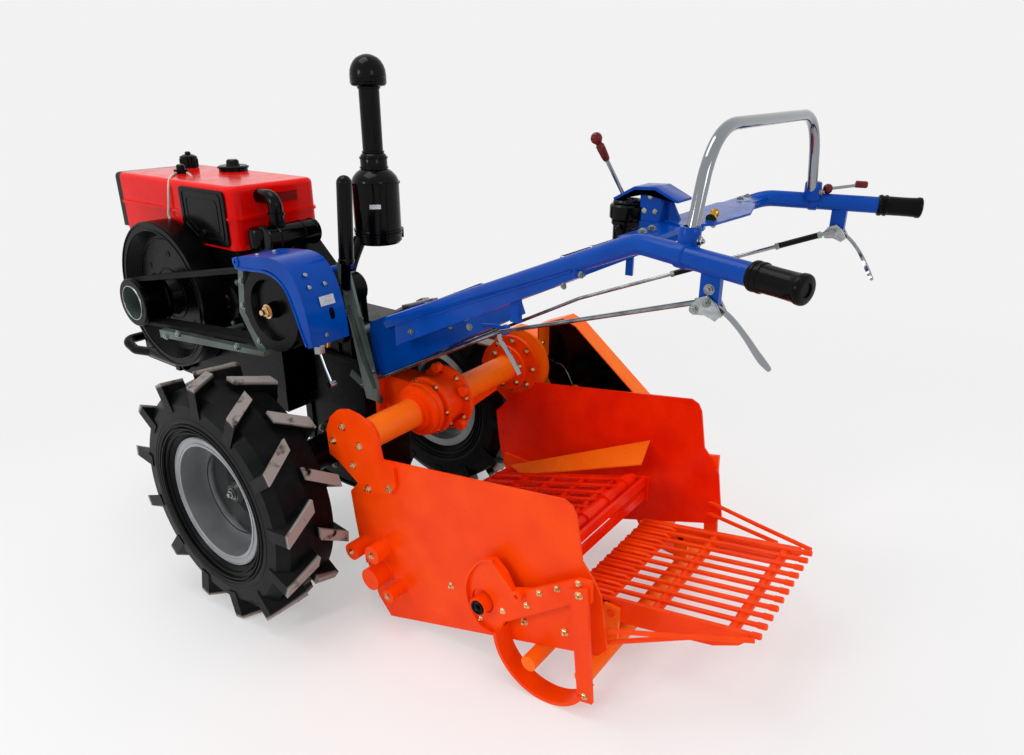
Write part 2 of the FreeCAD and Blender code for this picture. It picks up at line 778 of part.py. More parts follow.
def make_belt_channel():
    """Steel channel outside the lower belt run, with the strip that goes up to the guard."""
    x = 289
    rail = plate([(-410, 612), (60, 660), (60, 672), (-410, 634)], x, 20)
    strip = plate([(60, 660), (40, 688), (-10, 752), (6, 882), (-12, 880), (-34, 750), (26, 656)], x, 8)
    spacer = Part.makeCylinder(8, x - 135, point(135, -285, 624), Vector(1, 0, 0))
    stand(feature("belt_channel", join([rail, strip, spacer])))


def smooth_edge(points, x):
    """A smooth line through points in Y and Z, at one X."""
    curve = Part.BSplineCurve()
    curve.interpolate([point(x, y, z) for y, z in points])
    return curve.toShape()


def pushed_in(points, distance):
    """Points moved square to their own line, towards its inside."""
    moved = []
    for i, (y, z) in enumerate(points):
        y0, z0 = points[max(i - 1, 0)]
        y1, z1 = points[min(i + 1, len(points) - 1)]
        length = math.hypot(y1 - y0, z1 - z0)
        moved.append((y + (z1 - z0) / length * distance, z - (y1 - y0) / length * distance))
    return moved


def smooth_band(outer, inner, start, width):
    """A prism between two smooth lines, from X = start over the width."""
    rim, lip = smooth_edge(outer, start), smooth_edge(inner[::-1], start)
    ends = [Part.LineSegment(point(start, *outer[-1]), point(start, *inner[-1])).toShape(),
            Part.LineSegment(point(start, *inner[0]), point(start, *outer[0])).toShape()]
    return Part.Face(Part.Wire([rim, ends[0], lip, ends[1]])).extrude(point(width, 0, 0))


def make_clutch_guard():
    """Blue sheet guard that arches over the clutch pulley: a rolled roof and a face with a lip."""
    x_out, x_in, sheet = 312, 205, 5
    outer = [(-10, 886), (40, 897), (90, 902), (145, 905), (184, 894), (212, 864), (232, 815), (242, 768),
             (246, 722)]
    inner = [(-4, 862), (40, 864), (90, 874), (132, 874), (164, 859), (188, 832), (204, 792), (218, 752),
             (232, 718)]
    face = smooth_band(outer, inner, x_out - sheet, sheet)
    roof = smooth_band(outer, pushed_in(outer, sheet), x_in, x_out - x_in)
    arm = plate([(96, 830), (112, 830), (112, 901), (96, 900)], x_in, 8)
    stay = Part.makeCylinder(9, x_in - 56, point(58, 104, 838), Vector(1, 0, 0))
    stand(feature("clutch_guard", join([roof, face, stay, arm])))


make_flywheel()
make_belt_pulley()
make_clutch_pulley()
make_belts()
make_belt_channel()
make_clutch_guard()


# ---------------------------------------------------------------- air cleaner and gear lever
def make_air_cleaner():
    """Canister with its neck, upright pipe and mushroom cap, and the duct to the engine."""
    x, y = -160, -25
    outline = [(0, 843), (58, 843), (64, 850), (64, 866), (66, 868), (66, 874), (64, 876), (64, 1004),
               (60, 1020), (48, 1034), (36, 1042), (36, 1074), (27, 1084), (27, 1246), (43, 1250), (47, 1256),
               (47, 1276), (43, 1296), (33, 1312), (18, 1322), (0, 1326)]
    face = Part.Face(Part.makePolygon([Vector(x + r, y, z) for r, z in outline + outline[:1]]))
    canister = face.revolve(Vector(x, y, 0), Vector(0, 0, 1), 360)
    duct = tube([point(x + 46, y, 856), point(x + 46, y, 690), point(x + 46, -119.7, 690)], 18, 40)
    stand(feature("air_cleaner", join([canister, duct])))


def make_quadrant():
    """Steel quadrant plate that carries the main lever, beside the upper case."""
    blade = plate([(126, 861), (164, 861), (240, 560), (236, 525), (196, 525), (160, 700)], 118, 8)
    seats = [Part.makeCylinder(12, 60, point(58, y, z), Vector(1, 0, 0)) for y, z in ((172, 690), (192, 600))]
    stand(feature("lever_quadrant", join([blade] + seats)))


def make_gear_lever():
    """Main lever with its long black handle."""
    shank = plate([(150, 800), (172, 800), (182, 880), (160, 880)], 126.3, 10)
    grip = tube([point(131, 171, 866), point(131, 186, 1050)], 17.5)
    cap = Part.makeSphere(17.5, point(131, 186, 1050))
    stand(feature("gear_lever", join([shank, grip, cap])))


make_air_cleaner()
make_quadrant()
make_gear_lever()


# ---------------------------------------------------------------- handlebars
def make_handle_box():
    """Blue channel bolted behind the gear case; it carries both handlebars."""
    base = body("handle_box")
    half = s.box_half
    slab(base, [(205, 720), (205, 589), (245, 589), (521, 749), (500, 800), (385, 802)], -half, half * 2)
    cut_slab(base, [(211, 724), (211, 596), (243, 596), (512, 752), (494, 810), (380, 810)],
             6 - half, half * 2 - 12)
    stand(base)


beam_start_x = s.box_half + s.beam_radius + 0.3


def bar_line(side):
    """Front end, bend and grip end of one handlebar."""
    return (point(beam_start_x * side, s.beam_start_y, s.beam_start_z),
            point(s.bend_x * side, s.bend_y, s.bend_z),
            point(s.grip_x * side, s.grip_y, s.grip_z))


def handlebar(side):
    """Bent tube from the box to the grip, with a channel under its front run and the lever's lug."""
    start, bend, end = bar_line(side)
    core = end + (bend - end).normalize() * 6
    bar = tube([start, bend, core], s.beam_radius, 90)
    ahead = bend - start
    across = Vector(-ahead.y, ahead.x, 0).normalize() * 13
    drop = Vector(0, 0, -1)
    near, far = start + ahead * 0.06, start + ahead * 0.84
    corners = [near, near + drop * 60, far + drop * 27, far]
    corners = [corner - across for corner in corners]
    channel = Part.Face(Part.makePolygon(corners + corners[:1])).extrude(across * 2)
    hung = start + ahead * 0.62
    link = Part.makeCylinder(9, 70, hung + drop * 80 - across / 1.5, across.normalize())
    link = link.common(Part.makeCylinder(9, 24, hung + drop * 80 - across * 12, across))
    eye = [hung + Vector(0, -9, -20), hung + Vector(0, -9, -76), hung + Vector(0, 9, -76), hung + Vector(0, 9, -20)]
    eye = Part.Face(Part.makePolygon([corner - across * 5 for corner in eye + eye[:1]])).extrude(across * 10)
    lug = plate([(1120, 1034), (1120, 988), (1133, 974), (1148, 988), (1148, 1034)],
                (318 if side > 0 else -330), 12)
    boss = Part.makeCylinder(14, 12, point((318 if side > 0 else -330), 1134, 984), Vector(1, 0, 0))
    return join([bar, channel, eye, lug, boss])


def make_handlebars():
    """Both handlebars."""
    for name, side in SIDES:
        stand(feature(f"handlebar_{name}", handlebar(side)))


def make_grips():
    """Ribbed hand grips with a flange at both ends, over the handlebar ends."""
    grips = []
    for _, side in SIDES:
        _, bend, end = bar_line(side)
        back = (bend - end).normalize()
        length = float(s.grip_length)
        grip = Part.makeCylinder(float(s.grip_radius), length, end, back)
        flange = Part.makeCylinder(float(s.grip_flange), 7, end + back * (length - 7), back)
        cap = Part.makeCylinder(float(s.grip_flange), 7, end + back * 3, back)
        core = tube([end + back * 6, end + back * 200], s.beam_radius)
        grips.append(join([grip, flange, cap]).cut(core))
    stand(feature("grips", Part.makeCompound(grips)))


def make_hoop():
    """Chromed guard hoop that stands on the insides of both handlebars."""
    _, bend, end = bar_line(1)
    on_bar = bend + (end - bend) * ((float(s.hoop_y) - bend.y) / (end.y - bend.y))
    foot = on_bar + Vector(-14, 0, 2)
    top = foot.z + float(s.hoop_rise)
    shoulder = point(foot.x - 51, s.hoop_y, top)
    points = [foot, shoulder, point(-shoulder.x, shoulder.y, shoulder.z), point(-foot.x, foot.y, foot.z)]
    hoop = tube(points, s.hoop_radius, s.hoop_bend).cut(handlebar(1)).cut(handlebar(-1))
    stand(feature("guard_hoop", hoop))


def make_brake_levers():
    """Steering clutch levers under the grips."""
    lever = tube([point(317, 1134, 984), point(312, 1166, 966), point(296, 1214, 898)], 7, 40)
    pin = Part.makeCylinder(8, 14, point(310, 1134, 984), Vector(1, 0, 0))
    lever = join([lever, pin]).cut(handlebar(1))
    stand(feature("clutch_levers", Part.makeCompound([lever, mirrored(lever)])))


def make_console():
    """Cross plate between the handlebars, with the speed control's housing."""
    bar = Part.makeBox(2 * 272, 50, 8, point(-272, 956, 1036)).cut(handlebar(1)).cut(handlebar(-1))
    housing = plate([(905, 1044), (972, 1044), (972, 1082), (1010, 1094), (1004, 1102), (948, 1108), (905, 1096)],
                    66, 96)
    drums = [Part.makeCylinder(radius, height, point(113, 872, z)) for radius, height, z in
             ((33, 30, 1000), (39, 26, 1030), (34, 14, 1056))]
    front = join(drums + [plate([(872, 1006), (905, 1006), (905, 1064), (872, 1064)], 88, 50)])
    web = plate([(896, 1000), (990, 1036), (990, 1050), (896, 1050)], 104, 20)
    stand(feature("console", join([bar, housing, front, web])))


def make_speed_levers():
    """Levers with knobs: speed on the console, throttle lying along the right handlebar."""
    tip = point(150, 872, 1178)
    root = point(126, 884, 1071.5)
    speed = [tube([root, tip], 4.5), Part.makeSphere(10, tip), tube([tip, tip + (root - tip) * 0.32], 7)]
    _, bend, end = bar_line(-1)
    ahead = (end - bend).normalize()
    on_bar = bend + (end - bend) * 0.40
    seat = on_bar + Vector(0, 0, float(s.beam_radius) + 9.3)
    knob = seat + ahead * 62 + Vector(0, 0, 12)
    throttle = [Part.makeSphere(9, seat), tube([seat, knob], 3), tube([knob - ahead * 14, knob + ahead * 6], 6)]
    stand(feature("speed_levers", Part.makeCompound([join(speed), join(throttle)])))


def make_control_rods():
    """Pull rods from the steering levers forward to the gear case."""
    rods = []
    for _, side in SIDES:
        rods.append(tube([point(306 * side, 1134, 984), point(150 * side, 640, 796),
                          point(107.8 * side, 160, 545)], 4, 60))
    stand(feature("control_rods", Part.makeCompound(rods)))


make_handle_box()
make_handlebars()
make_grips()
make_hoop()
make_brake_levers()
make_console()
make_speed_levers()
make_control_rods()


# ---------------------------------------------------------------- digger frame
def make_cross_tube():
    """Tube across the machine that the digger hangs from."""
    inner = s.plate_x + s.plate_thick / 2
    bar = body("cross_tube")
    round_slab(bar, (s.tube_y, s.tube_z), s.tube_radius, -inner, inner * 2)
    stand(bar)


def make_power_housing():
    """Flanged housing around the tube, bolted to the back of the gear case."""
    steps = [(8, 10, 82), (18, 26, 58), (44, 30, 62), (74, 10, 72), (84, 12, 56), (96, 12, 66), (108, 14, 62),
             (122, 12, 46)]
    pieces = [rod((start, s.tube_y, s.tube_z), width, radius, (1, 0, 0)) for start, width, radius in steps]
    pieces.append(box((18, 206, s.tube_z - 52), (66, s.tube_y - 206, 100)))
    pieces.append(box((-8, 205, s.tube_z - 64), (112, 14, 115)))
    solid = fuse("housing_steel", pieces)
    housing = doc.addObject("Part::Cut", "power_housing")
    housing.Label = "power_housing"
    housing.Base = solid
    housing.Tool = rod((-60, s.tube_y, s.tube_z), 260, s.tube_radius, (1, 0, 0))
    stand(housing)


def outboard(side, first, width):
    """Low X of a piece that starts a distance out from the middle, on either side."""
    return first if side > 0 else -first - width


plate_out = s.plate_x + s.plate_thick / 2


def make_drive_box():
    """Drive box on the right end of the tube, behind its round flange."""
    inner = plate_out + s.bracket_thick
    flange = rod((-inner - s.drive_flange, s.tube_y, s.tube_z), s.drive_flange, 96, (1, 0, 0))
    case = box((-inner - s.drive_flange - s.drive_width, 310, 462), (s.drive_width, 112, 150))
    stand(fuse("drive_box", [flange, case]))


def make_chain_guard():
    """Sheet guard over the chain, outside the right plate."""
    inner = float(plate_out + s.bracket_thick + s.drive_flange)
    width = 52
    outer = [(422, 612), (422, 650), (500, 682), (540, 668), (812, 452), (812, 330), (720, 176),
             (640, 176), (600, 240), (422, 480)]
    recess = [(436, 604), (500, 640), (520, 640), (760, 440), (760, 350), (690, 240), (640, 240), (436, 500)]
    case = plate(outer, outboard(-1, inner, width), width)
    case = case.cut(plate(recess, outboard(-1, inner + width - 26, 40), 40))
    gap = inner - float(plate_out)
    seats = [Part.makeCylinder(12, gap, point(-inner, y, z), Vector(1, 0, 0)) for y, z in ((520, 470), (790, 420))]
    shaft_hole = Part.makeCylinder(float(s.eccentric_radius) + 0.5, 120,
                                   point(-inner - width - 20, s.eccentric_y, s.eccentric_z), Vector(1, 0, 0))
    stand(feature("chain_guard", join([case] + seats).cut(shaft_hole)))


make_cross_tube()
make_power_housing()
make_drive_box()
make_chain_guard()

PLATE = [(402, 486), (884, 560), (902, 552), (912, 534), (928, 443), (953, 415), (971, 383), (981, 320),
         (990, 271), (972, 247), (401, 55), (364, 97), (310, 241), (302, 293), (294, 367)]
ARM = [(284, 577), (314, 585), (350, 582), (385, 570), (406, 538), (416, 492), (453, 483), (457, 440),
       (441, 414), (363, 385), (338, 403), (273, 443), (243, 454), (239, 515), (256, 552)]
BOSSES = [(333, 238, 21), (402, 257, 22), (389, 184, 27), (446, 163, 16)]


def make_side_plates():
    """Side plates of the digger, with the bores of the eccentric shaft."""
    for name, side in SIDES:
        wall = body(f"side_plate_{name}")
        start = s.plate_x * side - s.plate_thick / 2
        slab(wall, PLATE, start, s.plate_thick)
        cut_round(wall, (s.eccentric_y, s.eccentric_z), s.eccentric_radius + 0.5, start, s.plate_thick)
        stand(wall)


def make_brackets():
    """Arms from the tube to the side plates, discs on the tube and long bosses on the plates' front corners."""
    pieces = []
    thick = s.bracket_thick
    for _, side in SIDES:
        pieces.append(plate(ARM, outboard(side, plate_out, thick), thick))
        start = outboard(side, plate_out, 46)
        pieces += [Part.makeCylinder(radius, 46, point(start, y, z), Vector(1, 0, 0)) for y, z, radius in BOSSES]
    for x, width, radius in ((-238, 8, 62), (-270, 9, 82)):
        disc = Part.makeCylinder(radius, width, point(x, s.tube_y, s.tube_z), Vector(1, 0, 0))
        bore = Part.makeCylinder(float(s.tube_radius), width, point(x, s.tube_y, s.tube_z), Vector(1, 0, 0))
        pieces.append(disc.cut(bore))
    stand(feature("tube_brackets", Part.makeCompound(pieces)))


def make_share():
    """Digging share: a sloping blade with a narrowed tip, and cheeks bolted inside the side plates."""
    inner = s.plate_x - s.plate_thick / 2
    reach = inner - 9.4
    y0, z0, y1, z1 = s.share_tip_y, s.share_tip_z, s.share_rear_y, s.share_rear_z
    slab_of_steel = plate([(y0, z0), (y1, z1), (y1 + 6, z1 - 10), (y0 + 22, z0 + 2)], -reach, reach * 2)
    tip = float(s.share_tip_half)
    shoulder = float(y0) + 120
    plan = [(-tip, y0), (tip, y0), (reach, shoulder), (reach, y1 + 20), (-reach, y1 + 20), (-reach, shoulder)]
    corners = [point(x, y, z0 - 20) for x, y in plan]
    outline = Part.Face(Part.makePolygon(corners + corners[:1])).extrude(Vector(0, 0, 400))
    blade = slab_of_steel.common(outline)
    cheek = plate([(326, 215), (370, 105), (404, 72), (440, 90), (452, 150), (430, 240), (330, 244)], reach, 9)
    stand(feature("digging_share", join([blade, cheek, mirrored(cheek)])))


make_side_plates()
make_brackets()
make_share()


# ---------------------------------------------------------------- shaking sieve and screen
def sieve_level(y):
    """Height of the sieve's rods at a distance from the axle."""
    rise = (sieve_rear_z - s.sieve_front_z) / (sieve_rear_y - s.sieve_front_y)
    return s.sieve_front_z + (y - s.sieve_front_y) * rise


def make_sieve():
    """Shaking sieve: rods along the slope on cross bars, a ribbed front plate and two end bars."""
    half = float(s.sieve_half)
    front, rear = float(s.sieve_front_y), float(sieve_rear_y)
    count = round(float(s.sieve_rods))
    pieces = []
    for i in range(count):
        x = -half + 8 + (2 * half - 16) * i / (count - 1)
        pieces.append(tube([point(x, front + 4, sieve_level(front + 4)),
                            point(x, rear, sieve_level(rear))], s.rod_radius))
    for y in range(round(front) + 112, round(rear) - 20, 88):
        pieces.append(Part.makeCylinder(8, 2 * half, point(-half, y, sieve_level(y) - 9), Vector(1, 0, 0)))
    pieces.append(Part.makeCylinder(15, 2 * half, point(-half, rear, sieve_rear_z), Vector(1, 0, 0)))
    lip = [(front, sieve_level(front)), (front + 112, sieve_level(front + 112)),
           (front + 112, sieve_level(front + 112) - 6), (front, sieve_level(front) - 6)]
    pieces.append(plate(lip, -half, 2 * half))
    for side in (1, -1):
        x = half - 6 if side > 0 else -half
        flat = [(front, sieve_level(front) - 22), (front, sieve_level(front) + 6),
                (rear + 44, sieve_rear_z + 22), (rear + 44, sieve_rear_z - 44), (rear - 20, sieve_rear_z - 40)]
        pieces.append(plate(flat, x, 6))
    pin_y = front + 18
    pin_reach = float(plate_out - s.plate_thick) - 9.8
    pieces.append(Part.makeCylinder(9, 2 * pin_reach, point(-pin_reach, pin_y, float(s.sieve_front_z) - 4),
                                    Vector(1, 0, 0)))
    for side in (1, -1):
        x = outboard(side, half - 6, 6)
        yc, zc = float(s.eccentric_y), float(s.eccentric_z)
        strap = plate([(yc - 36, sieve_level(yc - 36)), (yc - 36, zc + 1), (yc - 16, zc - 36), (yc + 16, zc - 36),
                       (yc + 36, zc + 1), (yc + 36, sieve_level(yc + 36))], x, 6)
        pieces.append(strap.cut(Part.makeCylinder(28, 6, point(x, s.eccentric_y, s.eccentric_z), Vector(1, 0, 0))))
    end_z = float(sieve_rear_z)
    for y, z in ((rear + 30, end_z - 4), (rear + 30, end_z - 42)):
        pieces.append(plate([(y, z), (y + 8, z), (y + 8, z + 24), (y, z + 24)], -half, 2 * half))
    for x in (-half + 20, -0.4 * half, 0.1 * half, half - 52):
        pieces.append(Part.makeCylinder(21, 30, point(x, rear, sieve_rear_z), Vector(1, 0, 0)))
    stand(feature("sieve", join(pieces)))


def make_deflectors():
    """Sloping sheets that lead the crop from the side plates onto the sieve."""
    inner = float(s.plate_x - s.plate_thick / 2)
    edge = float(s.sieve_half + s.side_clear)
    sheets = []
    for side in (1, -1):
        corners = []
        for y in (float(s.sieve_front_y) + 6, float(sieve_rear_y)):
            z = float(sieve_level(y))
            corners.append([point(side * inner, y, z + 78), point(side * edge, y, z + 14),
                            point(side * edge, y, z + 10), point(side * inner, y, z + 74)])
        loops = [Part.makePolygon(loop + loop[:1]) for loop in corners]
        sheets.append(Part.makeLoft(loops, True, True))
    stand(feature("deflectors", Part.makeCompound(sheets)))


def make_screen():
    """Rear screen: a ribbed plate, then tines on two cross bars between side bars with pivot pins."""
    half = float(s.screen_half)
    y0, z0 = float(s.screen_front), float(s.screen_z)
    y1 = y0 + float(s.screen_plate)
    y3, z3 = y0 + float(s.screen_length), z0 + float(s.screen_rise)
    bend_y = y1 + 110
    count = round(float(s.tines))
    radius = float(s.rod_radius)
    pieces = [plate([(y0, z0), (y1, z0 + 2), (y1, z0 - 4), (y0, z0 - 6)], -half, 2 * half)]
    for i in range(count):
        x = -half + 5 + (2 * half - 10) * i / (count - 1)
        pieces.append(tube([point(x, y0 + 4, z0 + 4), point(x, bend_y, z0 + 4), point(x * 0.97, y3, z3)],
                           radius, 300))
    for y, z in ((y1 + 92, z0 - 6), (y3 - 56, z0 + 34)):
        pieces.append(Part.makeCylinder(10, 2 * half, point(-half, y, z), Vector(1, 0, 0)))
    pin = s.post_y, s.post_z
    for side in (1, -1):
        x = half - 6 if side > 0 else -half
        flat = [(y0, z0 + 8), (y0, z0 - 20), (s.post_y - 20, s.post_z - 24), (s.post_y + 20, s.post_z - 24),
                (bend_y + 20, z0 - 34), (y3 - 32, z0 + 26), (y3 - 18, z0 + 62), (y3 - 52, z0 + 50),
                (bend_y + 20, z0 + 12)]
        pieces.append(plate(flat, x, 6))
        start = outboard(side, half - 6, 6 + 0.4 + 8 + 3)
        pieces.append(Part.makeCylinder(float(s.pin_radius), 17.4, point(start, *pin), Vector(1, 0, 0)))
    stand(feature("rear_screen", join(pieces)))


make_sieve()
make_deflectors()
make_screen()


# ---------------------------------------------------------------- eccentric shaft, stays and skids
def make_eccentric_shaft():
    """Shaft across the plates with an eccentric hub outside and two discs beside the sieve's straps."""
    y, z = s.eccentric_y, s.eccentric_z
    across = (1, 0, 0)
    left_end = plate_out + 48
    right_end = plate_out + s.bracket_thick + s.drive_flange + 62
    pieces = [rod((-right_end, y, z), left_end + right_end, s.eccentric_radius, across),
              rod((plate_out + 12, y + 5, z), 37.5, 20, across)]
    for _, side in SIDES:
        pieces.append(rod((outboard(side, s.sieve_half - 30.6, 24), y + 4, z), 24, 32, across))
    stand(fuse("eccentric_shaft", pieces))


def on_runner(y):
    """Height at which a stay tube rests on the skid runner's strip."""
    seat = float(s.skid_radius - s.skid_thick - s.stay_radius)
    return float(s.skid_z) - math.sqrt(seat ** 2 - (y - float(s.skid_y)) ** 2)


def under_plate(y):
    """Height at which a stay tube touches the lower edge of the side plates."""
    (y0, z0), (y1, z1) = PLATE[10], PLATE[9]
    slope = (z1 - z0) / (y1 - y0)
    return z0 + (y - y0) * slope - (float(s.stay_radius) + 0.3) * math.hypot(1, slope)


def make_stays():
    """Tubes across the skids, and the two posts that carry the rear screen."""
    front_y, rear_y = 839, 944
    pieces = [cross_rod(front_y, under_plate(front_y), plate_out + s.skid_width - 2, s.stay_radius),
              cross_rod(rear_y, on_runner(rear_y), plate_out + 8.8, s.stay_radius)]
    posts = []
    for _, side in SIDES:
        low = on_runner(rear_y)
        posts.append(box((outboard(side, s.screen_half + 0.4, 8), s.post_y - 17, low),
                         (8, 34, s.post_z - low + 17)))
    solid = fuse("stay_steel", pieces + posts)
    stays = doc.addObject("Part::Cut", "stay_tubes")
    stays.Label = "stay_tubes"
    stays.Base = solid
    stays.Tool = cross_rod(s.post_y, s.post_z, s.screen_half + 20, s.pin_radius + s.pin_clear)
    stand(stays)


SKID_ARM = [(704, 212), (716, 206), (742, 204), (758, 212), (766, 240), (928, 366), (966, 384), (964, 430),
            (936, 424), (894, 396), (832, 352), (790, 334), (772, 364), (745, 386), (712, 372), (682, 330),
            (670, 290), (680, 244)]


def skid(side):
    """Skid frame: arm round the eccentric hub, upright bar, spacers on the side plate, curved runner."""
    yc, zc, radius = float(s.skid_y), float(s.skid_z), float(s.skid_radius)
    across = Vector(1, 0, 0)
    gap = 18 if side > 0 else 0
    arm_x = outboard(side, plate_out + gap, 9)
    arm = plate(SKID_ARM, arm_x, 9)
    arm = arm.cut(Part.makeCylinder(28, 9, point(arm_x, s.eccentric_y, s.eccentric_z), across))
    bar = plate([(925, 402), (960, 420), (983, 160), (951, 152)], outboard(side, plate_out + gap + 9, 8), 8)
    strip_x = outboard(side, plate_out, s.skid_width)
    ring = Part.makeCylinder(radius, float(s.skid_width), point(strip_x, yc, zc), across)
    ring = ring.cut(Part.makeCylinder(radius - float(s.skid_thick), float(s.skid_width),
                                      point(strip_x, yc, zc), across))
    sector = [(yc + 1.5 * radius * math.cos(math.radians(angle)), zc + 1.5 * radius * math.sin(math.radians(angle)))
              for angle in (184, 214, 244, 274, 304, 332)]
    strip = ring.common(plate([(yc, zc)] + sector, strip_x, s.skid_width))
    pieces = [arm, bar, strip]
    if gap:
        pieces += [Part.makeCylinder(10, gap, point(plate_out, y, z), across)
                   for y, z in ((716, 344), (800, 306), (880, 364), (936, 396))]
    return join(pieces)


def make_skids():
    """Both skids."""
    for name, side in SIDES:
        stand(feature(f"skid_{name}", skid(side)))


make_eccentric_shaft()
make_stays()
make_skids()


# ---------------------------------------------------------------- check, centre and write
doc.recompute()
for thing in doc.Objects:
    if {"Invalid", "Error"} & set(thing.State):
        raise RuntimeError(f"{thing.Label}: {thing.State}")
for part in parts:
    if part.Shape.isNull() or not part.Shape.isValid():
        raise RuntimeError(f"{part.Label}: bad shape")

reach = FreeCAD.BoundBox()
for part in parts:
    reach.add(part.Shape.optimalBoundingBox(False))
to_origin = Placement(Vector(0, -reach.Center.y, -reach.ZMin), Rotation())
for part in parts:
    part.Placement = to_origin.multiply(part.Placement)
doc.recompute()

os.makedirs("parts", exist_ok=True)
for part in parts:
    part.Shape.exportStep(f"parts/{part.Label}.step")
print(f"park angle {park_angle():.4f} deg, shift {-reach.Center.y:.4f} {-reach.ZMin:.4f}")
print(f"box {reach.XLength:.1f} x {reach.YLength:.1f} x {reach.ZLength:.1f} mm")
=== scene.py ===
# %% [markdown]
# # Walking tractor with a potato digger
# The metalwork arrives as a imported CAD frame, so every big form is already in its place.
# This lesson gives the frame its finishes, adds the small fittings that a fabricator would
# bolt, weld or clip on, and sets up a plain studio round it.

# %% Load the frame
import json
import math
import bmesh
import bpy
import numpy as np
from mathutils import Matrix


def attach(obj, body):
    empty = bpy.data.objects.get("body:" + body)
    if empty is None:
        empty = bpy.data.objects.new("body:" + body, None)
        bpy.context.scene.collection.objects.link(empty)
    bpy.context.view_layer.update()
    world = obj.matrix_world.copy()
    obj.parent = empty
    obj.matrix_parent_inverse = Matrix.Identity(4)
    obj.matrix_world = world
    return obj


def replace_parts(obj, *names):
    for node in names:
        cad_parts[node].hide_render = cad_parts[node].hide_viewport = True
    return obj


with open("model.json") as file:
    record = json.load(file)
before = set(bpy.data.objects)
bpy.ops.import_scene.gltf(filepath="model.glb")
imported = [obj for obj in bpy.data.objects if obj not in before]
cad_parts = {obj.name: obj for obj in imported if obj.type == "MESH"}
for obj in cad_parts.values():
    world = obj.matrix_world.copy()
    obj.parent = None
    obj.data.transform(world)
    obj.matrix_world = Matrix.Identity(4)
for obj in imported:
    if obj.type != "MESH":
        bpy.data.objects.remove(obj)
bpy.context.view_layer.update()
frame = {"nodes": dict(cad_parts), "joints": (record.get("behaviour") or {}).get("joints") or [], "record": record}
record = frame["record"]

# %% [markdown]
# The drawing was made with the tractor level, in millimetres: x to its left, y to the rear
# from the axle, z up from the ground. Parked, it leans back on its skids. One function turns
# the drawing's numbers into the scene's metres, so each fitting can be written in the numbers
# that the maker's drawing has. The lean is read from the tow hole, which was drilled upright.

# %% The drawing's frame
wheel = next(j for j in frame["joints"] if j["name"] == "wheel_left_roll")["pos_m"]
tow_axis = next(m for m in record["mounts"] if m["name"] == "tow_hole")["axis"]
LEAN = math.atan2(tow_axis[1], tow_axis[2])
AXLE = wheel[2] * 1000
TURN = np.array([[1, 0, 0],
                 [0, math.cos(LEAN), math.sin(LEAN)],
                 [0, -math.sin(LEAN), math.cos(LEAN)]])


def place(points):
    """Drawing millimetres to scene metres: turned about the axle by the lean, then moved to it."""
    points = np.asarray(points, float) - [0, 0, AXLE]
    return points @ TURN.T / 1000 + [0, wheel[1], wheel[2]]


print(f"lean {math.degrees(LEAN):.2f} degrees, axle at {AXLE:.0f} mm")

# %% [markdown]
# ## The view
# The camera stands behind the left handlebar at chest height, a little over a metre and a
# half away, with a wide lens. It is written in the drawing's frame, like everything else.

# %% Camera
camera = bpy.data.objects.new("camera", bpy.data.cameras.new("camera"))
bpy.context.scene.collection.objects.link(camera)
camera.data.sensor_width = 36
camera.data.lens = 25.74
camera.data.clip_end = 200
heading, dip = math.radians(126.64), math.radians(22.19)
forward = TURN @ [-math.sin(heading) * math.cos(dip), math.cos(heading) * math.cos(dip), -math.sin(dip)]
side = np.cross(forward, TURN @ [0, 0, 1])
side /= np.linalg.norm(side)
frame_up = np.cross(side, forward)
eye = place([1257, 1492.4, 1266.2])
matrix = np.eye(4)
matrix[:3, 0], matrix[:3, 1], matrix[:3, 2], matrix[:3, 3] = side, frame_up, -forward, eye
camera.matrix_world = Matrix(matrix.tolist())
bpy.context.scene.camera = camera
print("camera at", eye.round(3))

# %% [markdown]
# ## Finishes
# Almost everything here is steel under sprayed enamel, so the finishes share one way of
# working: a shader with the colour, gloss and clear layer of the real coat, and a little
# unevenness in colour, gloss and height from noise at a real size in millimetres.

# %% One node, its settings and its links
def linear(colour):
    """An sRGB hex colour as linear RGBA."""
    value = np.array([int(colour[i:i + 2], 16) for i in (1, 3, 5)]) / 255
    value = np.where(value <= 0.04045, value / 12.92, ((value + 0.055) / 1.055) ** 2.4)
    return (*value.tolist(), 1.0)


def add(tree, kind, inputs=None, **settings):
    """Adds a node. Settings are its own properties; inputs are values, or sockets to link."""
    node = tree.nodes.new(kind)
    for key, value in settings.items():
        setattr(node, key, value)
    for key, value in (inputs or {}).items():
        if isinstance(value, bpy.types.NodeSocket):
            tree.links.new(value, node.inputs[key])
        else:
            node.inputs[key].default_value = value
    return node


def per_metre(millimetres):
    """A texture scale whose features are this many millimetres across."""
    return 1000 / millimetres


def patchy(name, first, second, patch_mm, detail, stops=(0.3, 0.7), **sockets):
    """A new material with its shader's own sockets set. Its colour goes from the first to the
    second where a noise with patches of this size passes from one stop to the other."""
    material = bpy.data.materials.new(name)
    material.use_nodes = True
    tree = material.node_tree
    shader = tree.nodes["Principled BSDF"]
    for key, value in sockets.items():
        shader.inputs[key.replace("_", " ").title().replace("Ior", "IOR")].default_value = value
    where = add(tree, "ShaderNodeTexCoord").outputs["Object"]
    cloud = add(tree, "ShaderNodeTexNoise", {"Vector": where, "Scale": per_metre(patch_mm),
                "Detail": detail})
    ramp = add(tree, "ShaderNodeValToRGB", {"Fac": cloud.outputs["Fac"]})
    for element, stop, colour in zip(ramp.color_ramp.elements, stops, (first, second)):
        element.position, element.color = stop, linear(colour)
    tree.links.new(ramp.outputs["Color"], shader.inputs["Base Color"])
    return material, tree, shader, where, cloud, ramp


